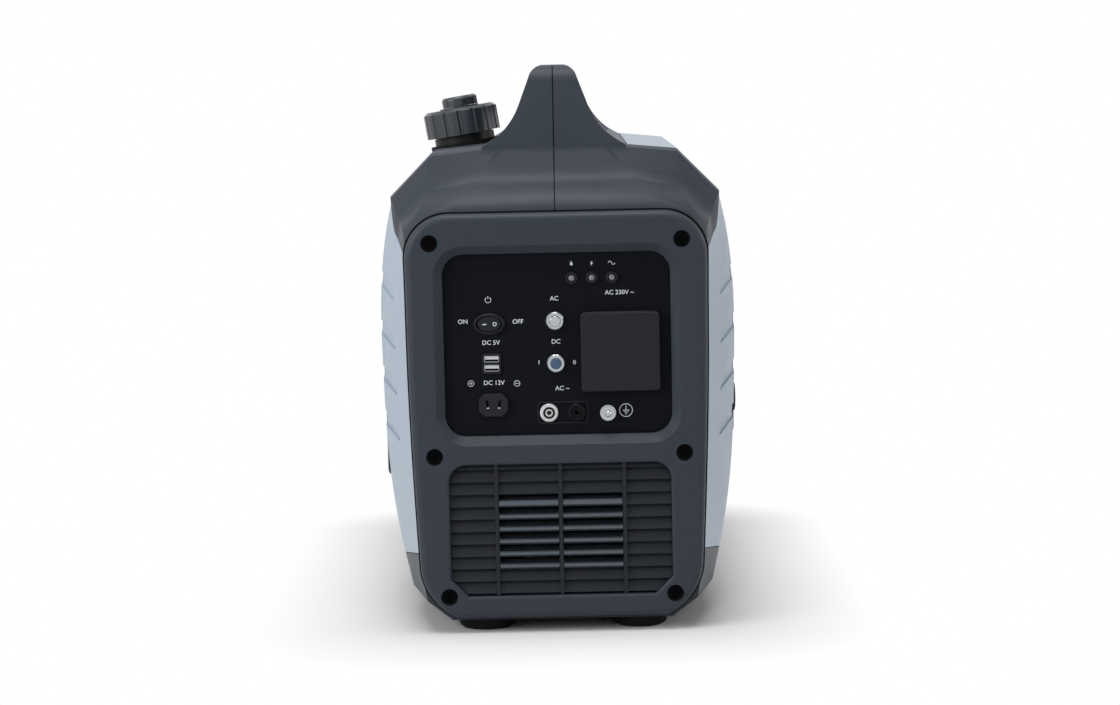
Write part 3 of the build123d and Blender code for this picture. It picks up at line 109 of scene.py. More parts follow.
class GeneratorFinishes(PropertyGroup):
    """Colours of the generator's mouldings and metals."""

    shroud: colour("Shroud", "Dark blue-grey moulding of the handle, bezel and tray", (0.034, 0.042, 0.056))
    panel: colour("Side panel", "Pale blue-grey moulding of the flanks", (0.340, 0.412, 0.495))
    plate: colour("Control plate", "Fine-textured black plate behind the controls", (0.0066, 0.0075, 0.0098))
    grille: colour("Grille", "Glossier dark moulding of the louvres", (0.017, 0.020, 0.026))
    # Black also paints the shade in the groove of the live socket.
    black: colour("Black plastic", "Sockets, dial, grip cup and vent", (0.009, 0.010, 0.012))
    lid: colour("Lid", "Lid of the mains socket, rocker and lamp rings", (0.017, 0.019, 0.023))
    # Rubber also colours the black strips of painted shade round the end covers and the web of painted shade
    # in the shroud's seam.
    rubber: colour("Rubber", "Feet, seals, hose, foam and grip", (0.006, 0.006, 0.0065))
    ink: colour("Ink", "Printed marks on the control plate", (0.76, 0.79, 0.82))
    white: colour("White plastic", "Live socket and the tongues of the USB ports", (0.66, 0.67, 0.68))
    blue: colour("Blue plastic", "Button of the low-voltage breaker", (0.045, 0.085, 0.17))
    plated: colour("Plated metal", "Earth terminal, bushes and contacts", (0.46, 0.48, 0.51))
    steel: colour("Steel", "Shafts, drum and muffler", (0.34, 0.34, 0.35))
    screw: colour("Blackened steel", "Screws in the wells", (0.0035, 0.0037, 0.0042))
    tank: colour("Tank", "Blow-moulded fuel tank", (0.014, 0.014, 0.015))
    alloy: colour("Cast alloy", "Crankcase and cylinder", (0.42, 0.42, 0.43))
    rope: colour("Rope", "Braid of the starter rope", (0.45, 0.44, 0.40))
    lens: colour("Lamp lens", "Grey lens of an unlit lamp", (0.20, 0.205, 0.21))


class GeneratorSizes(PropertyGroup):
    """Sizes of the small trim and the printed marks."""

    ink_thick: length("Ink thickness", "How far a printed mark stands off its plate", 0.08)
    letter: length("Letter height", "Height of a printed word", 3.7)
    small_letter: length("Small letter height", "Height of the marks beside a switch", 3.5)
    # Painted shade: the black strip at an end cover's edge stands in for the shadow in its gap; this is how
    # far it stands out.
    shade_strip: length("Shade strip", "How far the seal of an end cover stands out past its edge", 1.5)
    line: length("Line width", "Width of a printed line", 0.5)


class GeneratorStage(PropertyGroup):
    """Camera, floor and light."""

    camera_place: FloatVectorProperty(name="Camera", description="Where the camera stands",
                                      default=(0.016, -2.355, 0.455), subtype="XYZ", unit="LENGTH")
    camera_aim: FloatVectorProperty(name="Aim", description="The point in the middle of the picture",
                                    default=(0.0020, -0.255, 0.2292), subtype="XYZ", unit="LENGTH")
    camera_roll: FloatProperty(name="Roll", description="Turn of the camera about its own axis",
                               default=math.radians(-1.2), subtype="ANGLE")
    lens: number("Lens", "Focal length in millimetres", 84.3)
    floor: colour("Floor", "Pale floor", (0.80, 0.80, 0.80))
    shadow_reach: length("Shadow reach", "How far from the object the floor still shows its shadow", 150.0)
    sky: number("Surround", "Strength of the plain surround on the object", 0.21)
    key: number("Key", "Power of the soft lamp at the left, in watts", 19.0)
    fill: number("Fill", "Power of the soft lamp at the right, in watts", 9.5)
    top: number("Top", "Power of the soft lamp above, in watts", 24.0)


class Value:
    """A shader socket that takes part in Python expressions; each operator adds a Math node."""

    def __init__(self, finish, socket):
        self.finish = finish
        self.socket = socket

    def math(self, operation, *inputs):
        return self.finish.node("ShaderNodeMath", {"operation": operation}, dict(enumerate(inputs)))

    def __add__(self, other):
        return self.math("ADD", self, other)

    def __radd__(self, other):
        return self.math("ADD", other, self)

    def __sub__(self, other):
        return self.math("SUBTRACT", self, other)

    def __rsub__(self, other):
        return self.math("SUBTRACT", other, self)

    def __mul__(self, other):
        return self.math("MULTIPLY", self, other)

    def __rmul__(self, other):
        return self.math("MULTIPLY", other, self)

    def __truediv__(self, other):
        return self.math("DIVIDE", self, other)

    def __pow__(self, other):
        return self.math("POWER", self, other)

    def span(self, low, high):
        """Maps the stretch from low to high onto 0 to 1."""
        return self.finish.node("ShaderNodeMapRange", {"clamp": True},
                                {"Value": self, "From Min": low, "From Max": high})


class Finish:
    """Node tree of one material with its Principled shader."""

    def __init__(self, name):
        self.material = bpy.data.materials.new(name)
        self.material.use_nodes = True
        self.tree = self.material.node_tree
        self.shader = self.tree.nodes["Principled BSDF"]
        self.output = self.tree.nodes["Material Output"]

    def node(self, kind, settings=None, inputs=None, output=0):
        """Adds a node: its settings first, then the values or links of its sockets. Returns one output."""
        made = self.tree.nodes.new(kind)
        for key, value in (settings or {}).items():
            if key == "stops":
                self.set_stops(made.color_ramp, value)
            else:
                setattr(made, key, value)
        for key, value in (inputs or {}).items():
            self.feed(made.inputs[key], value)
        return Value(self, made.outputs[output])

    @staticmethod
    def set_stops(ramp, stops):
        """Sets a ramp's stops, given as (position, grey level)."""
        while len(ramp.elements) < len(stops):
            ramp.elements.new(0.5)
        for element, (place, level) in zip(ramp.elements, stops):
            element.position = place
            element.color = (level, level, level, 1.0)

    def feed(self, socket, value):
        """Links a Value to a socket, or sets the socket to a number, a colour or a vector."""
        if isinstance(value, Value):
            self.tree.links.new(value.socket, socket)
        elif socket.type == "RGBA" and len(value) == 3:
            socket.default_value = (*value, 1.0)
        else:
            socket.default_value = value

    def shade(self, **inputs):
        """Feeds the shader's sockets, named with underscores for spaces."""
        for key, value in inputs.items():
            self.feed(self.shader.inputs[key.replace("_", " ")], value)

    def place(self, scale=(1.0, 1.0, 1.0), turn=(0.0, 0.0, 0.0)):
        """Object coordinates in metres, scaled and turned."""
        spot = self.node("ShaderNodeTexCoord", output="Object")
        return self.node("ShaderNodeMapping", {}, {"Vector": spot, "Scale": scale, "Rotation": turn})

    def noise(self, scale, detail=2.0, roughness=0.5, vector=None):
        """Noise from 0 to 1 at so many cells per metre."""
        inputs = {"Vector": vector or self.place(), "Scale": scale, "Detail": detail, "Roughness": roughness}
        return self.node("ShaderNodeTexNoise", {}, inputs)

    def mix(self, share, first, second):
        """Mixes two colours by a share."""
        return self.node("ShaderNodeMix", {"data_type": "RGBA"}, {0: share, 6: first, 7: second}, 2)

    def vector(self, operation, *inputs, output=0):
        """Vector Math on vectors."""
        return self.node("ShaderNodeVectorMath", {"operation": operation}, dict(enumerate(inputs)), output)

    def bump(self, height, distance, strength=1.0):
        """Normal from a height, with its full depth in metres."""
        return self.node("ShaderNodeBump", {}, {"Strength": strength, "Distance": distance, "Height": height})

    def seen(self):
        """1 on rays that come from the camera, off a mirror or through glass, and 0 on the rest."""
        rays = ("Is Camera Ray", "Is Glossy Ray", "Is Transmission Ray")
        camera, glossy, through = [self.node("ShaderNodeLightPath", output=ray) for ray in rays]
        return camera.math("MAXIMUM", camera, glossy.math("MAXIMUM", glossy, through))

    def cover(self, share, other):
        """Lays another shader over the tree's own by a share."""
        own = Value(self, self.shader.outputs[0])
        mixed = self.node("ShaderNodeMixShader", {}, {0: share, 1: own, 2: other})
        self.tree.links.new(mixed.socket, self.output.inputs["Surface"])


class Surround(Finish):
    """Node tree of the world with its Background shader."""

    def __init__(self, name):
        self.world = bpy.data.worlds.new(name)
        self.world.use_nodes = True
        self.tree = self.world.node_tree
        self.shader = self.tree.nodes["Background"]
        self.output = self.tree.nodes["World Output"]


def shaded(rgb, factor):
    """A colour made lighter or darker."""
    return tuple(min(1.0, channel * factor) for channel in rgb)


def moulded_plastic(name, rgb, roughness, specular, grain=2200.0, depth=0.00006):
    """Satin moulded plastic: fine spark-eroded grain, faint flow marks and a little handling sheen."""
    finish = Finish(name)
    flow = finish.noise(9.0, detail=3.0)
    pores = finish.noise(grain, detail=1.0)
    sheen = finish.noise(55.0, detail=4.0, roughness=0.6)
    tone = (flow - 0.5) * 0.5 + (pores - 0.5) * 0.5 + 0.5
    finish.shade(Base_Color=finish.mix(tone, shaded(rgb, 0.90), shaded(rgb, 1.10)),
                 Roughness=roughness + (sheen - 0.5) * 0.10 + (pores - 0.5) * 0.06,
                 Normal=finish.bump(pores, depth, 0.55), Specular_IOR_Level=specular)
    return finish.material


def gloss_plastic(name, rgb, roughness=0.24, specular=0.5, glint=(1.0, 1.0, 1.0)):
    """Smooth moulded plastic with a faint waviness, and a tint for its reflections."""
    finish = Finish(name)
    wave = finish.noise(160.0, detail=2.0)
    finish.shade(Base_Color=finish.mix(wave, shaded(rgb, 0.94), shaded(rgb, 1.05)),
                 Roughness=roughness + (wave - 0.5) * 0.08, Normal=finish.bump(wave, 0.00004, 0.3),
                 Specular_IOR_Level=specular, Specular_Tint=glint)
    return finish.material


def moulded_rubber(name, rgb):
    """Matt rubber with a soft bloom."""
    finish = Finish(name)
    bloom = finish.noise(70.0, detail=5.0, roughness=0.65)
    pits = finish.noise(1500.0, detail=1.0)
    finish.shade(Base_Color=finish.mix(bloom, shaded(rgb, 0.8), shaded(rgb, 1.7)),
                 Roughness=0.62 + (bloom - 0.5) * 0.16, Normal=finish.bump(pits, 0.0001, 0.5),
                 Specular_IOR_Level=0.1)
    return finish.material


def worked_metal(name, rgb, roughness, stretch, depth=0.00002):
    """Metal with fine tool marks that run across the stretched direction."""
    finish = Finish(name)
    marks = finish.noise(900.0, detail=3.0, vector=finish.place(stretch))
    stain = finish.noise(40.0, detail=4.0)
    finish.shade(Base_Color=finish.mix(stain, shaded(rgb, 0.82), shaded(rgb, 1.08)), Metallic=1.0,
                 Roughness=roughness + (marks - 0.5) * 0.16 + (stain - 0.5) * 0.06,
                 Normal=finish.bump(marks, depth, 0.5))
    return finish.material


def cast_metal(name, rgb):
    """Sand-cast alloy with a coarse skin."""
    finish = Finish(name)
    skin = finish.noise(700.0, detail=4.0, roughness=0.6)
    finish.shade(Base_Color=finish.mix(skin, shaded(rgb, 0.7), shaded(rgb, 1.1)), Metallic=0.9,
                 Roughness=0.42 + skin * 0.2, Normal=finish.bump(skin, 0.0003, 0.5))
    return finish.material


def braided_rope(name, rgb):
    """Braided cord: slanted strands along X."""
    finish = Finish(name)
    strands = finish.node("ShaderNodeTexWave", {"wave_type": "BANDS", "bands_direction": "DIAGONAL"},
                          {"Vector": finish.place(), "Scale": 180.0, "Distortion": 1.5}, 1)
    finish.shade(Base_Color=finish.mix(strands, shaded(rgb, 0.5), rgb), Roughness=0.8,
                 Normal=finish.bump(strands, 0.0004, 0.6))
    return finish.material


def printed_ink(name, rgb):
    """Screen-printed ink, slightly uneven."""
    finish = Finish(name)
    cover = finish.noise(1800.0, detail=2.0)
    finish.shade(Base_Color=finish.mix(cover, shaded(rgb, 0.88), rgb), Roughness=0.5 + cover * 0.1)
    return finish.material


def surface(name):
    """The named finish, made the first time that it is asked for."""
    made = bpy.data.materials.get(name)
    if made:
        return made
    tint = bpy.context.scene.generator_finishes
    makers = {
        "shroud_moulding": lambda: moulded_plastic(name, tint.shroud, 0.44, 0.20),
        "grille_moulding": lambda: moulded_plastic(name, tint.grille, 0.30, 0.16),
        "vane_moulding": lambda: gloss_plastic(name, shaded(tint.grille, 0.6), 0.30, 0.32, (0.72, 0.86, 1.0)),
        "panel_moulding": lambda: moulded_plastic(name, tint.panel, 0.40, 0.4, depth=0.00004),
        "plate_moulding": lambda: moulded_plastic(name, tint.plate, 0.55, 0.04, grain=1600.0, depth=0.0001),
        "black_moulding": lambda: moulded_plastic(name, tint.black, 0.42, 0.16),
        "lid_moulding": lambda: moulded_plastic(name, tint.lid, 0.30, 0.12),
        "cap_moulding": lambda: moulded_plastic(name, shaded(tint.shroud, 0.7), 0.25, 0.50),
        "tank_moulding": lambda: moulded_plastic(name, tint.tank, 0.4, 0.16),
        "black_gloss": lambda: gloss_plastic(name, tint.black, 0.2, 0.06),
        "white_moulding": lambda: gloss_plastic(name, tint.white),
        "blue_moulding": lambda: gloss_plastic(name, tint.blue),
        "lens_moulding": lambda: gloss_plastic(name, tint.lens, 0.15),
        "moulded_rubber": lambda: moulded_rubber(name, tint.rubber),
        "bright_plating": lambda: worked_metal(name, tint.plated, 0.20, (1.0, 0.15, 1.0)),
        "blackened_steel": lambda: worked_metal(name, tint.screw, 0.42, (1.0, 0.15, 1.0)),
        "turned_steel": lambda: worked_metal(name, tint.steel, 0.34, (0.1, 1.0, 0.1)),
        "cast_alloy": lambda: cast_metal(name, tint.alloy),
        "rope_braid": lambda: braided_rope(name, tint.rope),
        "panel_ink": lambda: printed_ink(name, tint.ink),
    }
    return makers[name]()


def dress(finish, *names):
    """Gives CAD nodes their finish."""
    for name in names:
        for place in NODES[name].material_slots:
            place.material = surface(finish)


def keep(shape, name, finish, body):
    """Makes a finished bmesh a piece that rides on a body."""
    bmesh.ops.remove_doubles(shape, verts=shape.verts, dist=1e-7)
    bmesh.ops.recalc_face_normals(shape, faces=shape.faces)
    mesh = bpy.data.meshes.new(name)
    shape.to_mesh(mesh)
    shape.free()
    mesh.materials.append(surface(finish))
    piece = bpy.data.objects.new(name, mesh)
    bpy.context.scene.collection.objects.link(piece)
    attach(piece, body)
    return piece


def copy_of(node):
    """A bmesh with a CAD node's shape, its points joined."""
    shape = bmesh.new()
    shape.from_mesh(NODES[node].data)
    bmesh.ops.remove_doubles(shape, verts=shape.verts, dist=SAME_POINT)
    return shape


def flat_side(node, axis, level):
    """A bmesh with the flat face of a CAD node that lies across an axis at a level."""
    shape = copy_of(node)
    strays = [vert for vert in shape.verts if abs(vert.co[axis] - level) > ON_FACE]
    bmesh.ops.delete(shape, geom=strays, context="VERTS")
    return shape


def thicken(shape, faces, vec):
    """Pushes flat faces out into a plate, and returns the points of its far side."""
    made = bmesh.ops.extrude_face_region(shape, geom=faces)["geom"]
    far = [item for item in made if isinstance(item, bmesh.types.BMVert)]
    bmesh.ops.translate(shape, verts=far, vec=vec)
    return far


def skin(node, name, finish, slot):
    """Stands a copy of a lofted CAD node in for it, with its loft strips shaded as one smooth skin."""
    shape = copy_of(node)
    for face in shape.faces:
        face.smooth = True
    for edge in shape.edges:
        edge.smooth = edge.calc_face_angle(math.pi) < SMOOTH_BEND
    piece = keep(shape, name, finish, BODY_OF[node])
    normals = piece.data.attributes.get("custom_normal")
    if normals:
        piece.data.attributes.remove(normals)
    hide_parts(node)


def boundary_loops(shape):
    """The open loops of a bmesh, each as a list of points in order."""
    open_edges = {edge for edge in shape.edges if edge.is_boundary}
    loops = []
    while open_edges:
        edge = open_edges.pop()
        vert, points = edge.verts[1], [edge.verts[0].co.copy()]
        while edge:
            points.append(vert.co.copy())
            edge = next((near for near in vert.link_edges if near in open_edges), None)
            if edge:
                open_edges.remove(edge)
                vert = edge.other_vert(vert)
        loops.append(points[:-1])
    return loops


def on_plate(x, z, proud=0.0):
    """Matrix that stands a flat shape on the control plate, facing the front, at (x, z) in millimetres."""
    spot = Vector((x * MM, PANEL_FACE - proud * MM, (z + DATUM) * MM))
    return Matrix.Translation(spot) @ Matrix.Rotation(math.pi / 2, 4, "X")


def moved(place, x=0.0, y=0.0, z=0.0):
    """A place shifted along its own axes, in millimetres."""
    return place @ Matrix.Translation((x * MM, y * MM, z * MM))


def add_bar(shape, place, width, height, thick, turn=0.0):
    """Adds a flat bar that stands on its place, turned in its own plane."""
    size = Matrix.Diagonal((width, height, thick, 1.0))
    lift = Matrix.Translation((0.0, 0.0, thick / 2))
    bmesh.ops.create_cube(shape, size=1.0, matrix=place @ Matrix.Rotation(turn, 4, "Z") @ lift @ size)


def join(shape, other):
    """Moves another bmesh's geometry into a shape."""
    mesh = bpy.data.meshes.new("other")
    other.to_mesh(mesh)
    other.free()
    shape.from_mesh(mesh)
    bpy.data.meshes.remove(mesh)


def add_ring(shape, place, radius, width, thick, start=0.0, sweep=FULL_TURN):
    """Adds a flat ring, or a part of one, that stands on its place."""
    inner, outer = radius - width / 2, radius + width / 2
    corners = [(inner, 0.0), (outer, 0.0), (outer, thick), (inner, thick)]
    ring = bmesh.new()
    verts = [ring.verts.new((r, 0.0, z)) for r, z in corners]
    geom = verts + [ring.edges.new((verts[i], verts[i - 1])) for i in range(4)]
    full = sweep == FULL_TURN
    steps_per_radian, fewest = 9, 8
    if not full:
        geom.append(ring.faces.new(verts))
    bmesh.ops.spin(ring, geom=geom, axis=(0.0, 0.0, 1.0), cent=(0.0, 0.0, 0.0), angle=sweep,
                   steps=max(fewest, int(sweep * steps_per_radian)), use_merge=full)
    bmesh.ops.transform(ring, matrix=place @ Matrix.Rotation(start, 4, "Z"), verts=ring.verts)
    join(shape, ring)


def add_words(shape, place, words, height, thick):
    """Adds printed words, centred on their place."""
    size_per_capital, weight = 1.38, 0.012
    curve = bpy.data.curves.new("words", "FONT")
    curve.body = words
    curve.size = height * size_per_capital
    curve.align_x = "CENTER"
    curve.align_y = "CENTER"
    curve.resolution_u = 4
    curve.extrude = thick / 2
    curve.offset = height * weight
    holder = bpy.data.objects.new("words", curve)
    mesh = bpy.data.meshes.new_from_object(holder)
    mesh.transform(place @ Matrix.Translation((0.0, 0.0, thick / 2)))
    shape.from_mesh(mesh)
    bpy.data.objects.remove(holder)
    bpy.data.curves.remove(curve)
    bpy.data.meshes.remove(mesh)


def add_flat(shape, place, outline, thick):
    """Adds a flat plate with the given outline, which stands on its place."""
    verts = [shape.verts.new((x, y, 0.0)) for x, y in outline]
    tops = thicken(shape, [shape.faces.new(verts)], (0.0, 0.0, thick))
    bmesh.ops.transform(shape, matrix=place, verts=verts + tops)


def add_strand(shape, ends, radius, thick, pitch, start):
    """Adds one strand of a laid rope along X: a ring of points that is spun and pushed along the rope."""
    strand = bmesh.new()
    sides, steps_per_turn = 8, 14
    long = ends[1][0] - ends[0][0]
    turns = long / pitch
    steps = int(turns * steps_per_turn)
    bmesh.ops.create_circle(strand, cap_ends=False, radius=thick, segments=sides,
                            matrix=Matrix.Rotation(math.pi / 2, 4, "Y"))
    bmesh.ops.translate(strand, verts=strand.verts, vec=(0.0, 0.0, radius))
    rim = strand.verts[:] + strand.edges[:]
    bmesh.ops.spin(strand, geom=rim, axis=(1.0, 0.0, 0.0), cent=(0.0, 0.0, 0.0), angle=turns * FULL_TURN,
                   steps=steps, dvec=(long / steps, 0.0, 0.0), use_merge=False)
    bmesh.ops.holes_fill(strand, edges=[edge for edge in strand.edges if edge.is_boundary], sides=0)
    place = Matrix.Translation(ends[0]) @ Matrix.Rotation(start, 4, "X")
    bmesh.ops.transform(strand, matrix=place, verts=strand.verts)
    join(shape, strand)


class GENERATOR_OT_shell(Operator):
    """Finishes the handle shroud, side panels, bezel, tray, rear cover and feet"""

    bl_idname = "generator.shell"
    bl_label = "Shell"

    def execute(self, context):
        dress("shroud_moulding", "front_bezel", "rear_cover")
        dress("grille_moulding", "front_grille")
        for side in ("left", "right"):
            skin(f"handle_shroud_{side}", f"shroud_skin_{side}", "shroud_moulding", "dark_shroud")
            skin(f"{side}_side_panel", f"panel_skin_{side}", "panel_moulding", "pale_panel")
        skin("base_tray", "tray_skin", "shroud_moulding", "dark_shroud")
        dress("moulded_rubber", "rubber_feet")
        dress("blackened_steel", "bezel_screws", "rear_cover_screws")
        # Black strips of painted shade stand in for the shadow in the gaps round the bezel and the rear
        # cover.
        shade_strip = context.scene.generator_sizes.shade_strip
        self.paint_end_shade_strip("front_bezel", "front_shade_strip", shade_strip, 1)
        self.paint_end_shade_strip("rear_cover", "rear_shade_strip", shade_strip, -1)
        self.fill_seam()
        self.add_vanes()
        return {"FINISHED"}

    def add_vanes(self):
        """Vanes that slope up and back from the slats into the open rows of the grille."""
        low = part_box("front_grille")[0]
        pitch, open_rows, foot = 10.2 * MM, range(3, 9), 1.5 * MM
        front, deep, rise = low.y - 0.4 * MM, 7.0 * MM, 7.4 * MM
        lip, crest, wide = 1.2 * MM, 5.6 * MM, 48.0 * MM
        vanes = bmesh.new()
        for left in (-50.0 * MM, 2.0 * MM):
            for row in open_rows:
                bottom = low.z + (row - 1) * pitch + foot
                outline = [(front, bottom), (front, bottom + lip), (front + crest, bottom + rise),
                           (front + deep, bottom + rise), (front + deep, bottom)]
                verts = [vanes.verts.new((left, y, z)) for y, z in outline]
                thicken(vanes, [vanes.faces.new(verts)], (wide, 0.0, 0.0))
        keep(vanes, "grille_vanes", "vane_moulding", "generator")

    def fill_seam(self):
        """A web between the halves of the shroud, set back so that their seam shows as a groove; its black
        finish is painted shade in the groove.
        """
        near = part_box("handle_shroud_left")[1].x
        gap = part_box("handle_shroud_right")[0].x - near
        groove, clear = 1.0 * MM, gap * 0.02
        web = flat_side("handle_shroud_left", 0, near)
        rim = bmesh.ops.inset_region(web, faces=web.faces[:], use_boundary=True, use_even_offset=True,
                                     thickness=groove)["faces"]
        bmesh.ops.delete(web, geom=rim, context="FACES")
        thicken(web, web.faces[:], (gap - 2 * clear, 0.0, 0.0))
        bmesh.ops.translate(web, verts=web.verts, vec=(clear, 0.0, 0.0))
        # Black rubber here is painted shade for the seam, not a real part of the shroud.
        keep(web, "shroud_seam_shade_web", "moulded_rubber", "generator")

    def paint_end_shade_strip(self, node, name, proud, toward_shell):
        """A thin black strip of painted shade: it stands in for the shadow in the gap where an end cover
        meets the shell, and shows as a dark line.
        """
        low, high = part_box(node)
        middle, half = (low + high) / 2, (high - low) / 2
        back = high.y if toward_shell > 0 else low.y
        wide, thick = 3.0 * MM, 0.5 * MM
        flat = flat_side(node, 1, back)
        rim = max(boundary_loops(flat), key=lambda loop: max(point.x for point in loop))
        flat.free()
        shade_strip = bmesh.new()
        outline = shade_strip.faces.new([shade_strip.verts.new(point) for point in rim])
        grow = Matrix.Diagonal((1 + proud / half.x, 1.0, 1 + proud / half.z, 1.0))
        spot = Matrix.Translation((middle.x, 0.0, middle.z))
        bmesh.ops.transform(shade_strip, matrix=spot @ grow @ spot.inverted(), verts=shade_strip.verts)
        band = bmesh.ops.inset_region(shade_strip, faces=[outline], use_boundary=True, use_even_offset=True,
                                      thickness=wide)["faces"]
        bmesh.ops.delete(shade_strip, geom=[outline], context="FACES_ONLY")
        thicken(shade_strip, band, (0.0, toward_shell * thick, 0.0))
        # The strip's black rubber finish is painted shade, not a real seal.
        keep(shade_strip, name, "moulded_rubber", "generator")


class GENERATOR_OT_control_plate(Operator):
    """Finishes the control plate with its lamps"""

    bl_idname = "generator.control_plate"
    bl_label = "Control plate"

    def execute(self, context):
        dress("plate_moulding", "control_panel")
        dress("lid_moulding", "lamp_rings", "parallel_frame")
        dress("lens_moulding", "lamp_lenses")
        return {"FINISHED"}


class GENERATOR_OT_switches(Operator):
    """Finishes the rocker and the two breaker buttons, and inlays the rocker's marks"""

    bl_idname = "generator.switches"
    bl_label = "Switches"

    def execute(self, context):
        dress("lid_moulding", "rocker_frame", "rocker_key")
        dress("bright_plating", "ac_breaker_bush", "dc_breaker_bush", "ac_breaker_button")
        dress("blue_moulding", "dc_breaker_button")
        low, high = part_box("rocker_frame")
        middle = (low + high) / 2
        lean, axle, crown = math.radians(8.0), 0.5 * MM, 3.1
        pivot = Matrix.Translation((middle.x, PANEL_FACE - axle, middle.z))
        key = moved(pivot @ Matrix.Rotation(lean, 4, "Z") @ Matrix.Rotation(math.pi / 2, 4, "X"), z=crown)
        out, thick = 4.2, 0.52 * MM
        inlay = bmesh.new()
        add_bar(inlay, moved(key, x=-out), 3.4 * MM, 0.9 * MM, thick)
        add_ring(inlay, moved(key, x=out), 1.35 * MM, 0.7 * MM, thick)
        keep(inlay, "rocker_marks", "panel_ink", "rocker_key")
        return {"FINISHED"}


class GENERATOR_OT_sockets(Operator):
    """Finishes the sockets and the earth terminal, and adds the metal inside them"""

    bl_idname = "generator.sockets"
    bl_label = "Sockets"

    def execute(self, context):
        dress("black_moulding", "usb_socket", "ac_socket")
        dress("black_gloss", "parallel_socket_neutral")
        dress("white_moulding", "parallel_socket_live")
        dress("bright_plating", "earth_stud", "earth_washer", "earth_nut", "lid_hinge_pin")
        dress("lid_moulding", "ac_socket_lid", "dc_socket")
        self.line_usb_ports()
        self.add_blade_contacts()
        self.ring_live_socket()
        return {"FINISHED"}

    def line_usb_ports(self):
        """A plated sleeve in each port, and a white cap on each tongue."""
        across, rows, proud = -53.6, (219.0, 211.6), 1.65
        wide, high, wall, deep = 11.8 * MM, 4.9 * MM, 0.4 * MM, 8.0
        sleeves, caps = bmesh.new(), bmesh.new()
        for row in rows:
            port = on_plate(across, row, proud)
            for side in (1, -1):
                add_bar(sleeves, moved(port, y=side * 2.3, z=-deep), wide, wall, deep * MM)
                add_bar(sleeves, moved(port, x=side * 5.7, z=-deep), wall, high, deep * MM)
            add_bar(caps, moved(port, y=0.8, z=-3.2), 10.9 * MM, 2.3 * MM, 2.6 * MM)
        keep(sleeves, "usb_sleeves", "bright_plating", "generator")
        keep(caps, "usb_tongue_caps", "white_moulding", "generator")

    def add_blade_contacts(self):
        """A plated contact down each slot of the low-voltage socket."""
        middle, out, row, sunk, lean = -52.8, 4.9, 181.9, 8.0, math.radians(8.0)
        wide, thick, long, drop = 1.9 * MM, 1.1 * MM, 10.2 * MM, 2.9
        contacts = bmesh.new()
        for side in (-1, 1):
            slot = on_plate(middle + side * out, row, -sunk) @ Matrix.Rotation(-side * lean, 4, "Z")
            add_bar(contacts, moved(slot, y=-drop), wide, thick, long)
        keep(contacts, "blade_contacts", "bright_plating", "generator")

    def ring_live_socket(self):
        """A black ring of painted shade in the groove of the white socket, standing in for the groove's
        shadow.
        """
        low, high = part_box("parallel_socket_live")
        middle = (low + high) / 2 / MM
        radius, wide, thick, proud = 3.95 * MM, 1.85 * MM, 0.5 * MM, 1.8
        ring = bmesh.new()
        add_ring(ring, on_plate(middle.x, middle.z - DATUM, proud), radius, wide, thick)
        # The black finish of this ring is painted shade in the groove.
        keep(ring, "live_socket_groove_shade", "black_moulding", "generator")


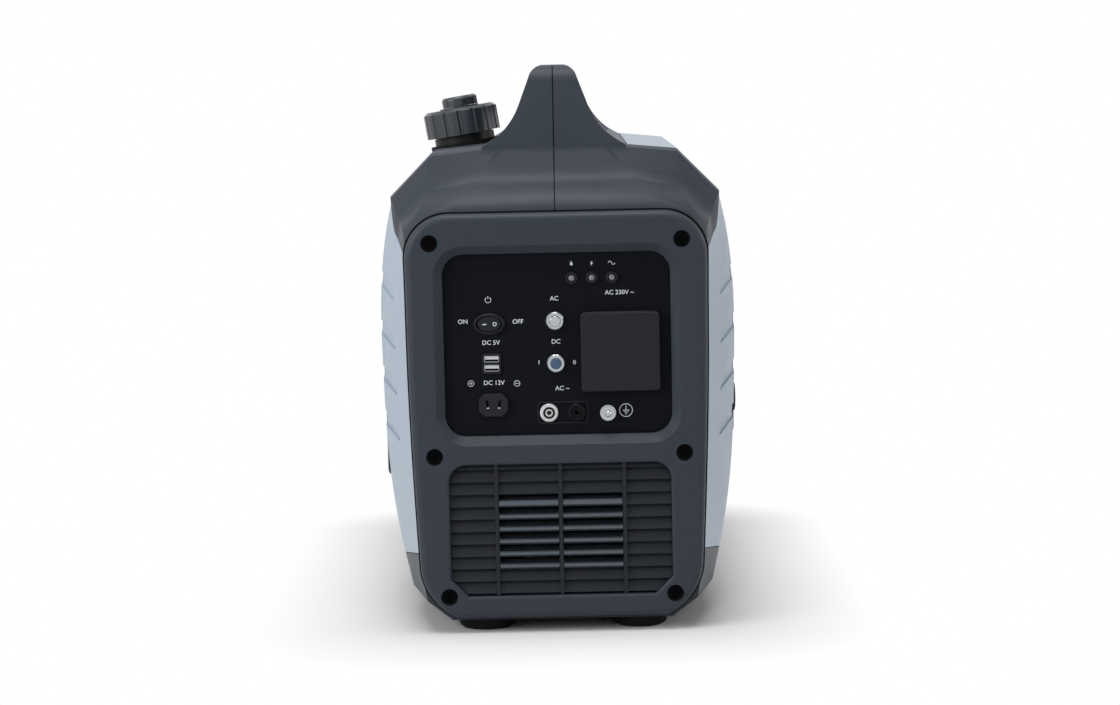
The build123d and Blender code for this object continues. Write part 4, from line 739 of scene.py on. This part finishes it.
class GENERATOR_OT_marks(Operator):
    """Prints the plain marks beside the controls"""

    bl_idname = "generator.marks"
    bl_label = "Printed marks"

    words = [("ON", -76.1, 249.5), ("OFF", -31.6, 248.8), ("DC 5V", -53.8, 232.1), ("DC 12V", -52.0, 199.4),
             ("AC", -1.9, 267.0), ("DC", -1.2, 232.0), ("AC ~", 3.2, 193.9), ("AC 230V ~", 50.9, 271.0)]
    small_words = [("1", -15.2, 215.2), ("0", 13.4, 214.8)]

    def execute(self, context):
        sizes = context.scene.generator_sizes
        thick, line = sizes.ink_thick, sizes.line
        ink = bmesh.new()
        for text, x, z in self.words:
            add_words(ink, on_plate(x, z), text, sizes.letter, thick)
        for text, x, z in self.small_words:
            add_words(ink, on_plate(x, z), text, sizes.small_letter, thick)
        self.power_sign(ink, on_plate(-55.4, 267.0), line, thick)
        self.poles(ink, line, thick)
        self.earth_sign(ink, on_plate(54.5, 175.0), line, thick)
        self.lamp_signs(ink, line, thick)
        keep(ink, "printed_marks", "panel_ink", "generator")
        return {"FINISHED"}

    def power_sign(self, ink, place, line, thick):
        """A ring that is open at the top, with an upright bar in the gap."""
        add_ring(ink, place, 2.3 * MM, line, thick, math.radians(125), math.radians(290))
        add_bar(ink, moved(place, y=1.9), line, 2.6 * MM, thick)

    def poles(self, ink, line, thick):
        """Plus and minus signs in rings, either side of the low-voltage mark."""
        for x, z, strokes in ((-70.7, 199.2, (0.0, math.pi / 2)), (-33.4, 198.6, (0.0,))):
            add_ring(ink, on_plate(x, z), 2.3 * MM, line * 0.8, thick)
            for turn in strokes:
                add_bar(ink, on_plate(x, z), 2.4 * MM, line, thick, turn)

    def earth_sign(self, ink, place, line, thick):
        """The earth sign: a stem on three bars of falling width, in a ring."""
        add_ring(ink, place, 5.2 * MM, line, thick)
        add_bar(ink, moved(place, y=2.0), line, 3.6 * MM, thick)
        for drop, wide in ((0.0, 5.4), (-1.4, 3.5), (-2.8, 1.6)):
            add_bar(ink, moved(place, y=drop), wide * MM, line, thick)

    def lamp_signs(self, ink, line, thick):
        """A drop, a bolt and a wave over the three lamps."""
        drop = [(0.0, 2.2), (-0.6, 1.1), (-1.15, 0.0), (-1.0, -0.9), (-0.4, -1.5), (0.4, -1.5), (1.0, -0.9),
                (1.15, 0.0), (0.6, 1.1)]
        bolt = [(0.5, 2.3), (-1.3, -0.4), (-0.1, -0.4), (-0.6, -2.3), (1.3, 0.5), (0.1, 0.5)]
        row, arc = 295.0, 1.3
        for x, outline in ((12.5, drop), (28.8, bolt)):
            add_flat(ink, on_plate(x, row), [(u * MM, v * MM) for u, v in outline], thick)
        wave = on_plate(45.0, row)
        add_ring(ink, moved(wave, x=-arc), arc * MM, line, thick, 0.0, math.pi)
        add_ring(ink, moved(wave, x=arc), arc * MM, line, thick, math.pi, math.pi)


class GENERATOR_OT_filler(Operator):
    """Finishes the fuel tank, its collar, the cap and the vent knob"""

    bl_idname = "generator.filler"
    bl_label = "Fuel filler"

    def execute(self, context):
        dress("tank_moulding", "fuel_tank")
        dress("cap_moulding", "fuel_cap", "vent_knob")
        dress("moulded_rubber", "fuel_cap_gasket", "filler_collar")
        return {"FINISHED"}


class GENERATOR_OT_flanks(Operator):
    """Finishes the dial, the starter grip and the vent insert, and makes the rope"""

    bl_idname = "generator.flanks"
    bl_label = "Flank pieces"

    def execute(self, context):
        dress("black_moulding", "dial_seat", "engine_dial", "grip_cup", "side_vent_insert")
        dress("moulded_rubber", "starter_grip")
        low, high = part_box("starter_rope")
        middle = (low + high) / 2
        radius = (high.z - low.z) / 2
        ends = ((low.x, middle.y, middle.z), (high.x, middle.y, middle.z))
        self.back_vent()
        strands, pitch = 4, 26.0 * MM
        rope = bmesh.new()
        for k in range(strands):
            add_strand(rope, ends, radius * 0.52, radius * 0.47, pitch, k * FULL_TURN / strands)
        rope = keep(rope, "starter_rope_lay", "rope_braid", BODY_OF["starter_rope"])
        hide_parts("starter_rope")
        return {"FINISHED"}

    def back_vent(self):
        """A dark foam pad behind the slots of the vent insert."""
        low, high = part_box("side_vent_insert")
        margin, thick, gap = 8.0 * MM, 4.0 * MM, 0.1 * MM
        size = (thick, high.y - low.y - 2 * margin, high.z - low.z - 2 * margin, 1.0)
        middle = (high.x + gap + thick / 2, (low.y + high.y) / 2, (low.z + high.z) / 2)
        pad = bmesh.new()
        bmesh.ops.create_cube(pad, size=1.0, matrix=Matrix.Translation(middle) @ Matrix.Diagonal(size))
        keep(pad, "vent_foam", "moulded_rubber", "generator")


class GENERATOR_OT_engine(Operator):
    """Finishes the engine, the alternator, the inverter and the exhaust, and makes the fuel hose"""

    bl_idname = "generator.engine"
    bl_label = "Engine"

    def execute(self, context):
        dress("cast_alloy", "crankcase", "cylinder", "head_cover", "carburettor")
        dress("turned_steel", "crankshaft", "rotor_drum", "stator", "muffler", "tail_pipe", "spark_plug")
        dress("black_moulding", "cooling_fan", "starter_pulley", "starter_housing", "air_filter_box",
              "inverter_module")
        dress("moulded_rubber", "engine_mounts")
        low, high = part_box("fuel_hose")
        middle = (low + high) / 2
        radius = (high.x - low.x) / 2
        bore, outside = radius * 0.6, radius * 0.97
        hose = bmesh.new()
        profile = [(bore, low.z), (outside, low.z), (outside, high.z), (bore, high.z)]
        verts = [hose.verts.new((r, 0.0, z)) for r, z in profile]
        edges = [hose.edges.new((verts[i], verts[i - 1])) for i in range(4)]
        bmesh.ops.spin(hose, geom=verts + edges, axis=(0.0, 0.0, 1.0), cent=(0.0, 0.0, 0.0),
                       angle=FULL_TURN, steps=32, use_merge=True)
        bmesh.ops.translate(hose, verts=hose.verts, vec=(middle.x, middle.y, 0.0))
        hose = keep(hose, "fuel_hose_wall", "moulded_rubber", "generator")
        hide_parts("fuel_hose")
        return {"FINISHED"}


class GENERATOR_OT_stage(Operator):
    """Sets up the floor, the surround, the lamps and the camera"""

    bl_idname = "generator.stage"
    bl_label = "Stage"

    def execute(self, context):
        stage = context.scene.generator_stage
        self.lay_floor(stage)
        self.light_surround(context.scene, stage)
        self.hang_lamp("key_lamp", (-1.5, -1.2, 0.9), 1.0, stage.key)
        self.hang_lamp("fill_lamp", (2.0, -0.35, 0.8), 1.2, stage.fill)
        self.hang_lamp("top_lamp", (-0.1, -0.5, 2.1), 1.2, stage.top)
        self.stand_camera(context.scene, stage)
        context.scene.view_settings.view_transform = "Standard"
        return {"FINISHED"}

    def lay_floor(self, stage):
        """A pale floor that is seen as white, apart from the object's shadow close to it."""
        finish = Finish("floor_paint")
        finish.shade(Base_Color=stage.floor, Roughness=0.9)
        high = CAD_BOX[1]
        sole = (high.x * 0.72, high.y * 0.92, 0.0)
        apart = finish.vector("SUBTRACT", finish.vector("ABSOLUTE", finish.place()), sole)
        away = finish.vector("LENGTH", finish.vector("MAXIMUM", apart, (0.0, 0.0, 0.0)), output="Value")
        lift = away.span(SHADOW_START, stage.shadow_reach)
        glow = finish.node("ShaderNodeEmission", {}, {"Color": (1.0, 1.0, 1.0), "Strength": 1.0})
        finish.cover(finish.seen() * lift, glow)
        half_side = 12.0
        floor = bmesh.new()
        bmesh.ops.create_grid(floor, x_segments=4, y_segments=4, size=half_side)
        mesh = bpy.data.meshes.new("floor")
        floor.to_mesh(mesh)
        floor.free()
        mesh.materials.append(finish.material)
        plane = bpy.data.objects.new("floor", mesh)
        bpy.context.scene.collection.objects.link(plane)

    def light_surround(self, scene, stage):
        """A plain surround: white where it is seen, and weaker where it lights the object."""
        surround = Surround("surround")
        surround.shade(Color=(1.0, 1.0, 1.0), Strength=stage.sky)
        white = surround.node("ShaderNodeBackground", {}, {"Color": (1.0, 1.0, 1.0), "Strength": 1.0})
        surround.cover(surround.seen(), white)
        scene.world = surround.world

    def hang_lamp(self, name, place, size, power):
        """A square soft lamp that faces the object's middle."""
        lamp = bpy.data.lights.new(name, "AREA")
        lamp.shape = "SQUARE"
        lamp.size = size
        lamp.energy = power
        holder = bpy.data.objects.new(name, lamp)
        toward = LIT_POINT - Vector(place)
        holder.matrix_world = Matrix.Translation(place) @ toward.to_track_quat("-Z", "Y").to_matrix().to_4x4()
        bpy.context.scene.collection.objects.link(holder)

    def stand_camera(self, scene, stage):
        """The camera at the photograph's angle."""
        lens = bpy.data.cameras.new("camera")
        lens.lens = stage.lens
        lens.sensor_width = 36.0
        lens.clip_end = 60.0
        camera = bpy.data.objects.new("camera", lens)
        place, aim = Vector(stage.camera_place), Vector(stage.camera_aim)
        look = (aim - place).to_track_quat("-Z", "Y").to_matrix().to_4x4()
        camera.matrix_world = Matrix.Translation(place) @ look @ Matrix.Rotation(stage.camera_roll, 4, "Z")
        scene.collection.objects.link(camera)
        scene.camera = camera


STEPS = [GENERATOR_OT_shell, GENERATOR_OT_control_plate, GENERATOR_OT_switches, GENERATOR_OT_sockets,
         GENERATOR_OT_marks, GENERATOR_OT_filler, GENERATOR_OT_flanks, GENERATOR_OT_engine,
         GENERATOR_OT_stage]


class GENERATOR_PT_looks(Panel):
    """Lists the steps that dress the generator, and the values they use"""

    bl_idname = "GENERATOR_PT_looks"
    bl_label = "Generator"
    bl_space_type = "VIEW_3D"
    bl_region_type = "UI"
    bl_category = "Generator"

    def draw(self, context):
        layout = self.layout
        for step in STEPS:
            layout.operator(step.bl_idname)
        for group in (context.scene.generator_finishes, context.scene.generator_sizes,
                      context.scene.generator_stage):
            column = layout.column(align=True)
            for key in group.bl_rna.properties.keys()[2:]:
                column.prop(group, key)


CLASSES = [GeneratorFinishes, GeneratorSizes, GeneratorStage, *STEPS, GENERATOR_PT_looks]


def register():
    for kind in CLASSES:
        bpy.utils.register_class(kind)
    bpy.types.Scene.generator_finishes = PointerProperty(type=GeneratorFinishes)
    bpy.types.Scene.generator_sizes = PointerProperty(type=GeneratorSizes)
    bpy.types.Scene.generator_stage = PointerProperty(type=GeneratorStage)


def unregister():
    del bpy.types.Scene.generator_stage
    del bpy.types.Scene.generator_sizes
    del bpy.types.Scene.generator_finishes
    for kind in reversed(CLASSES):
        bpy.utils.unregister_class(kind)


def main():
    """Dresses the generator step by step."""
    register()
    for step in STEPS:
        family, name = step.bl_idname.split(".")
        getattr(getattr(bpy.ops, family), name)()


if __name__ == "__main__":
    main()
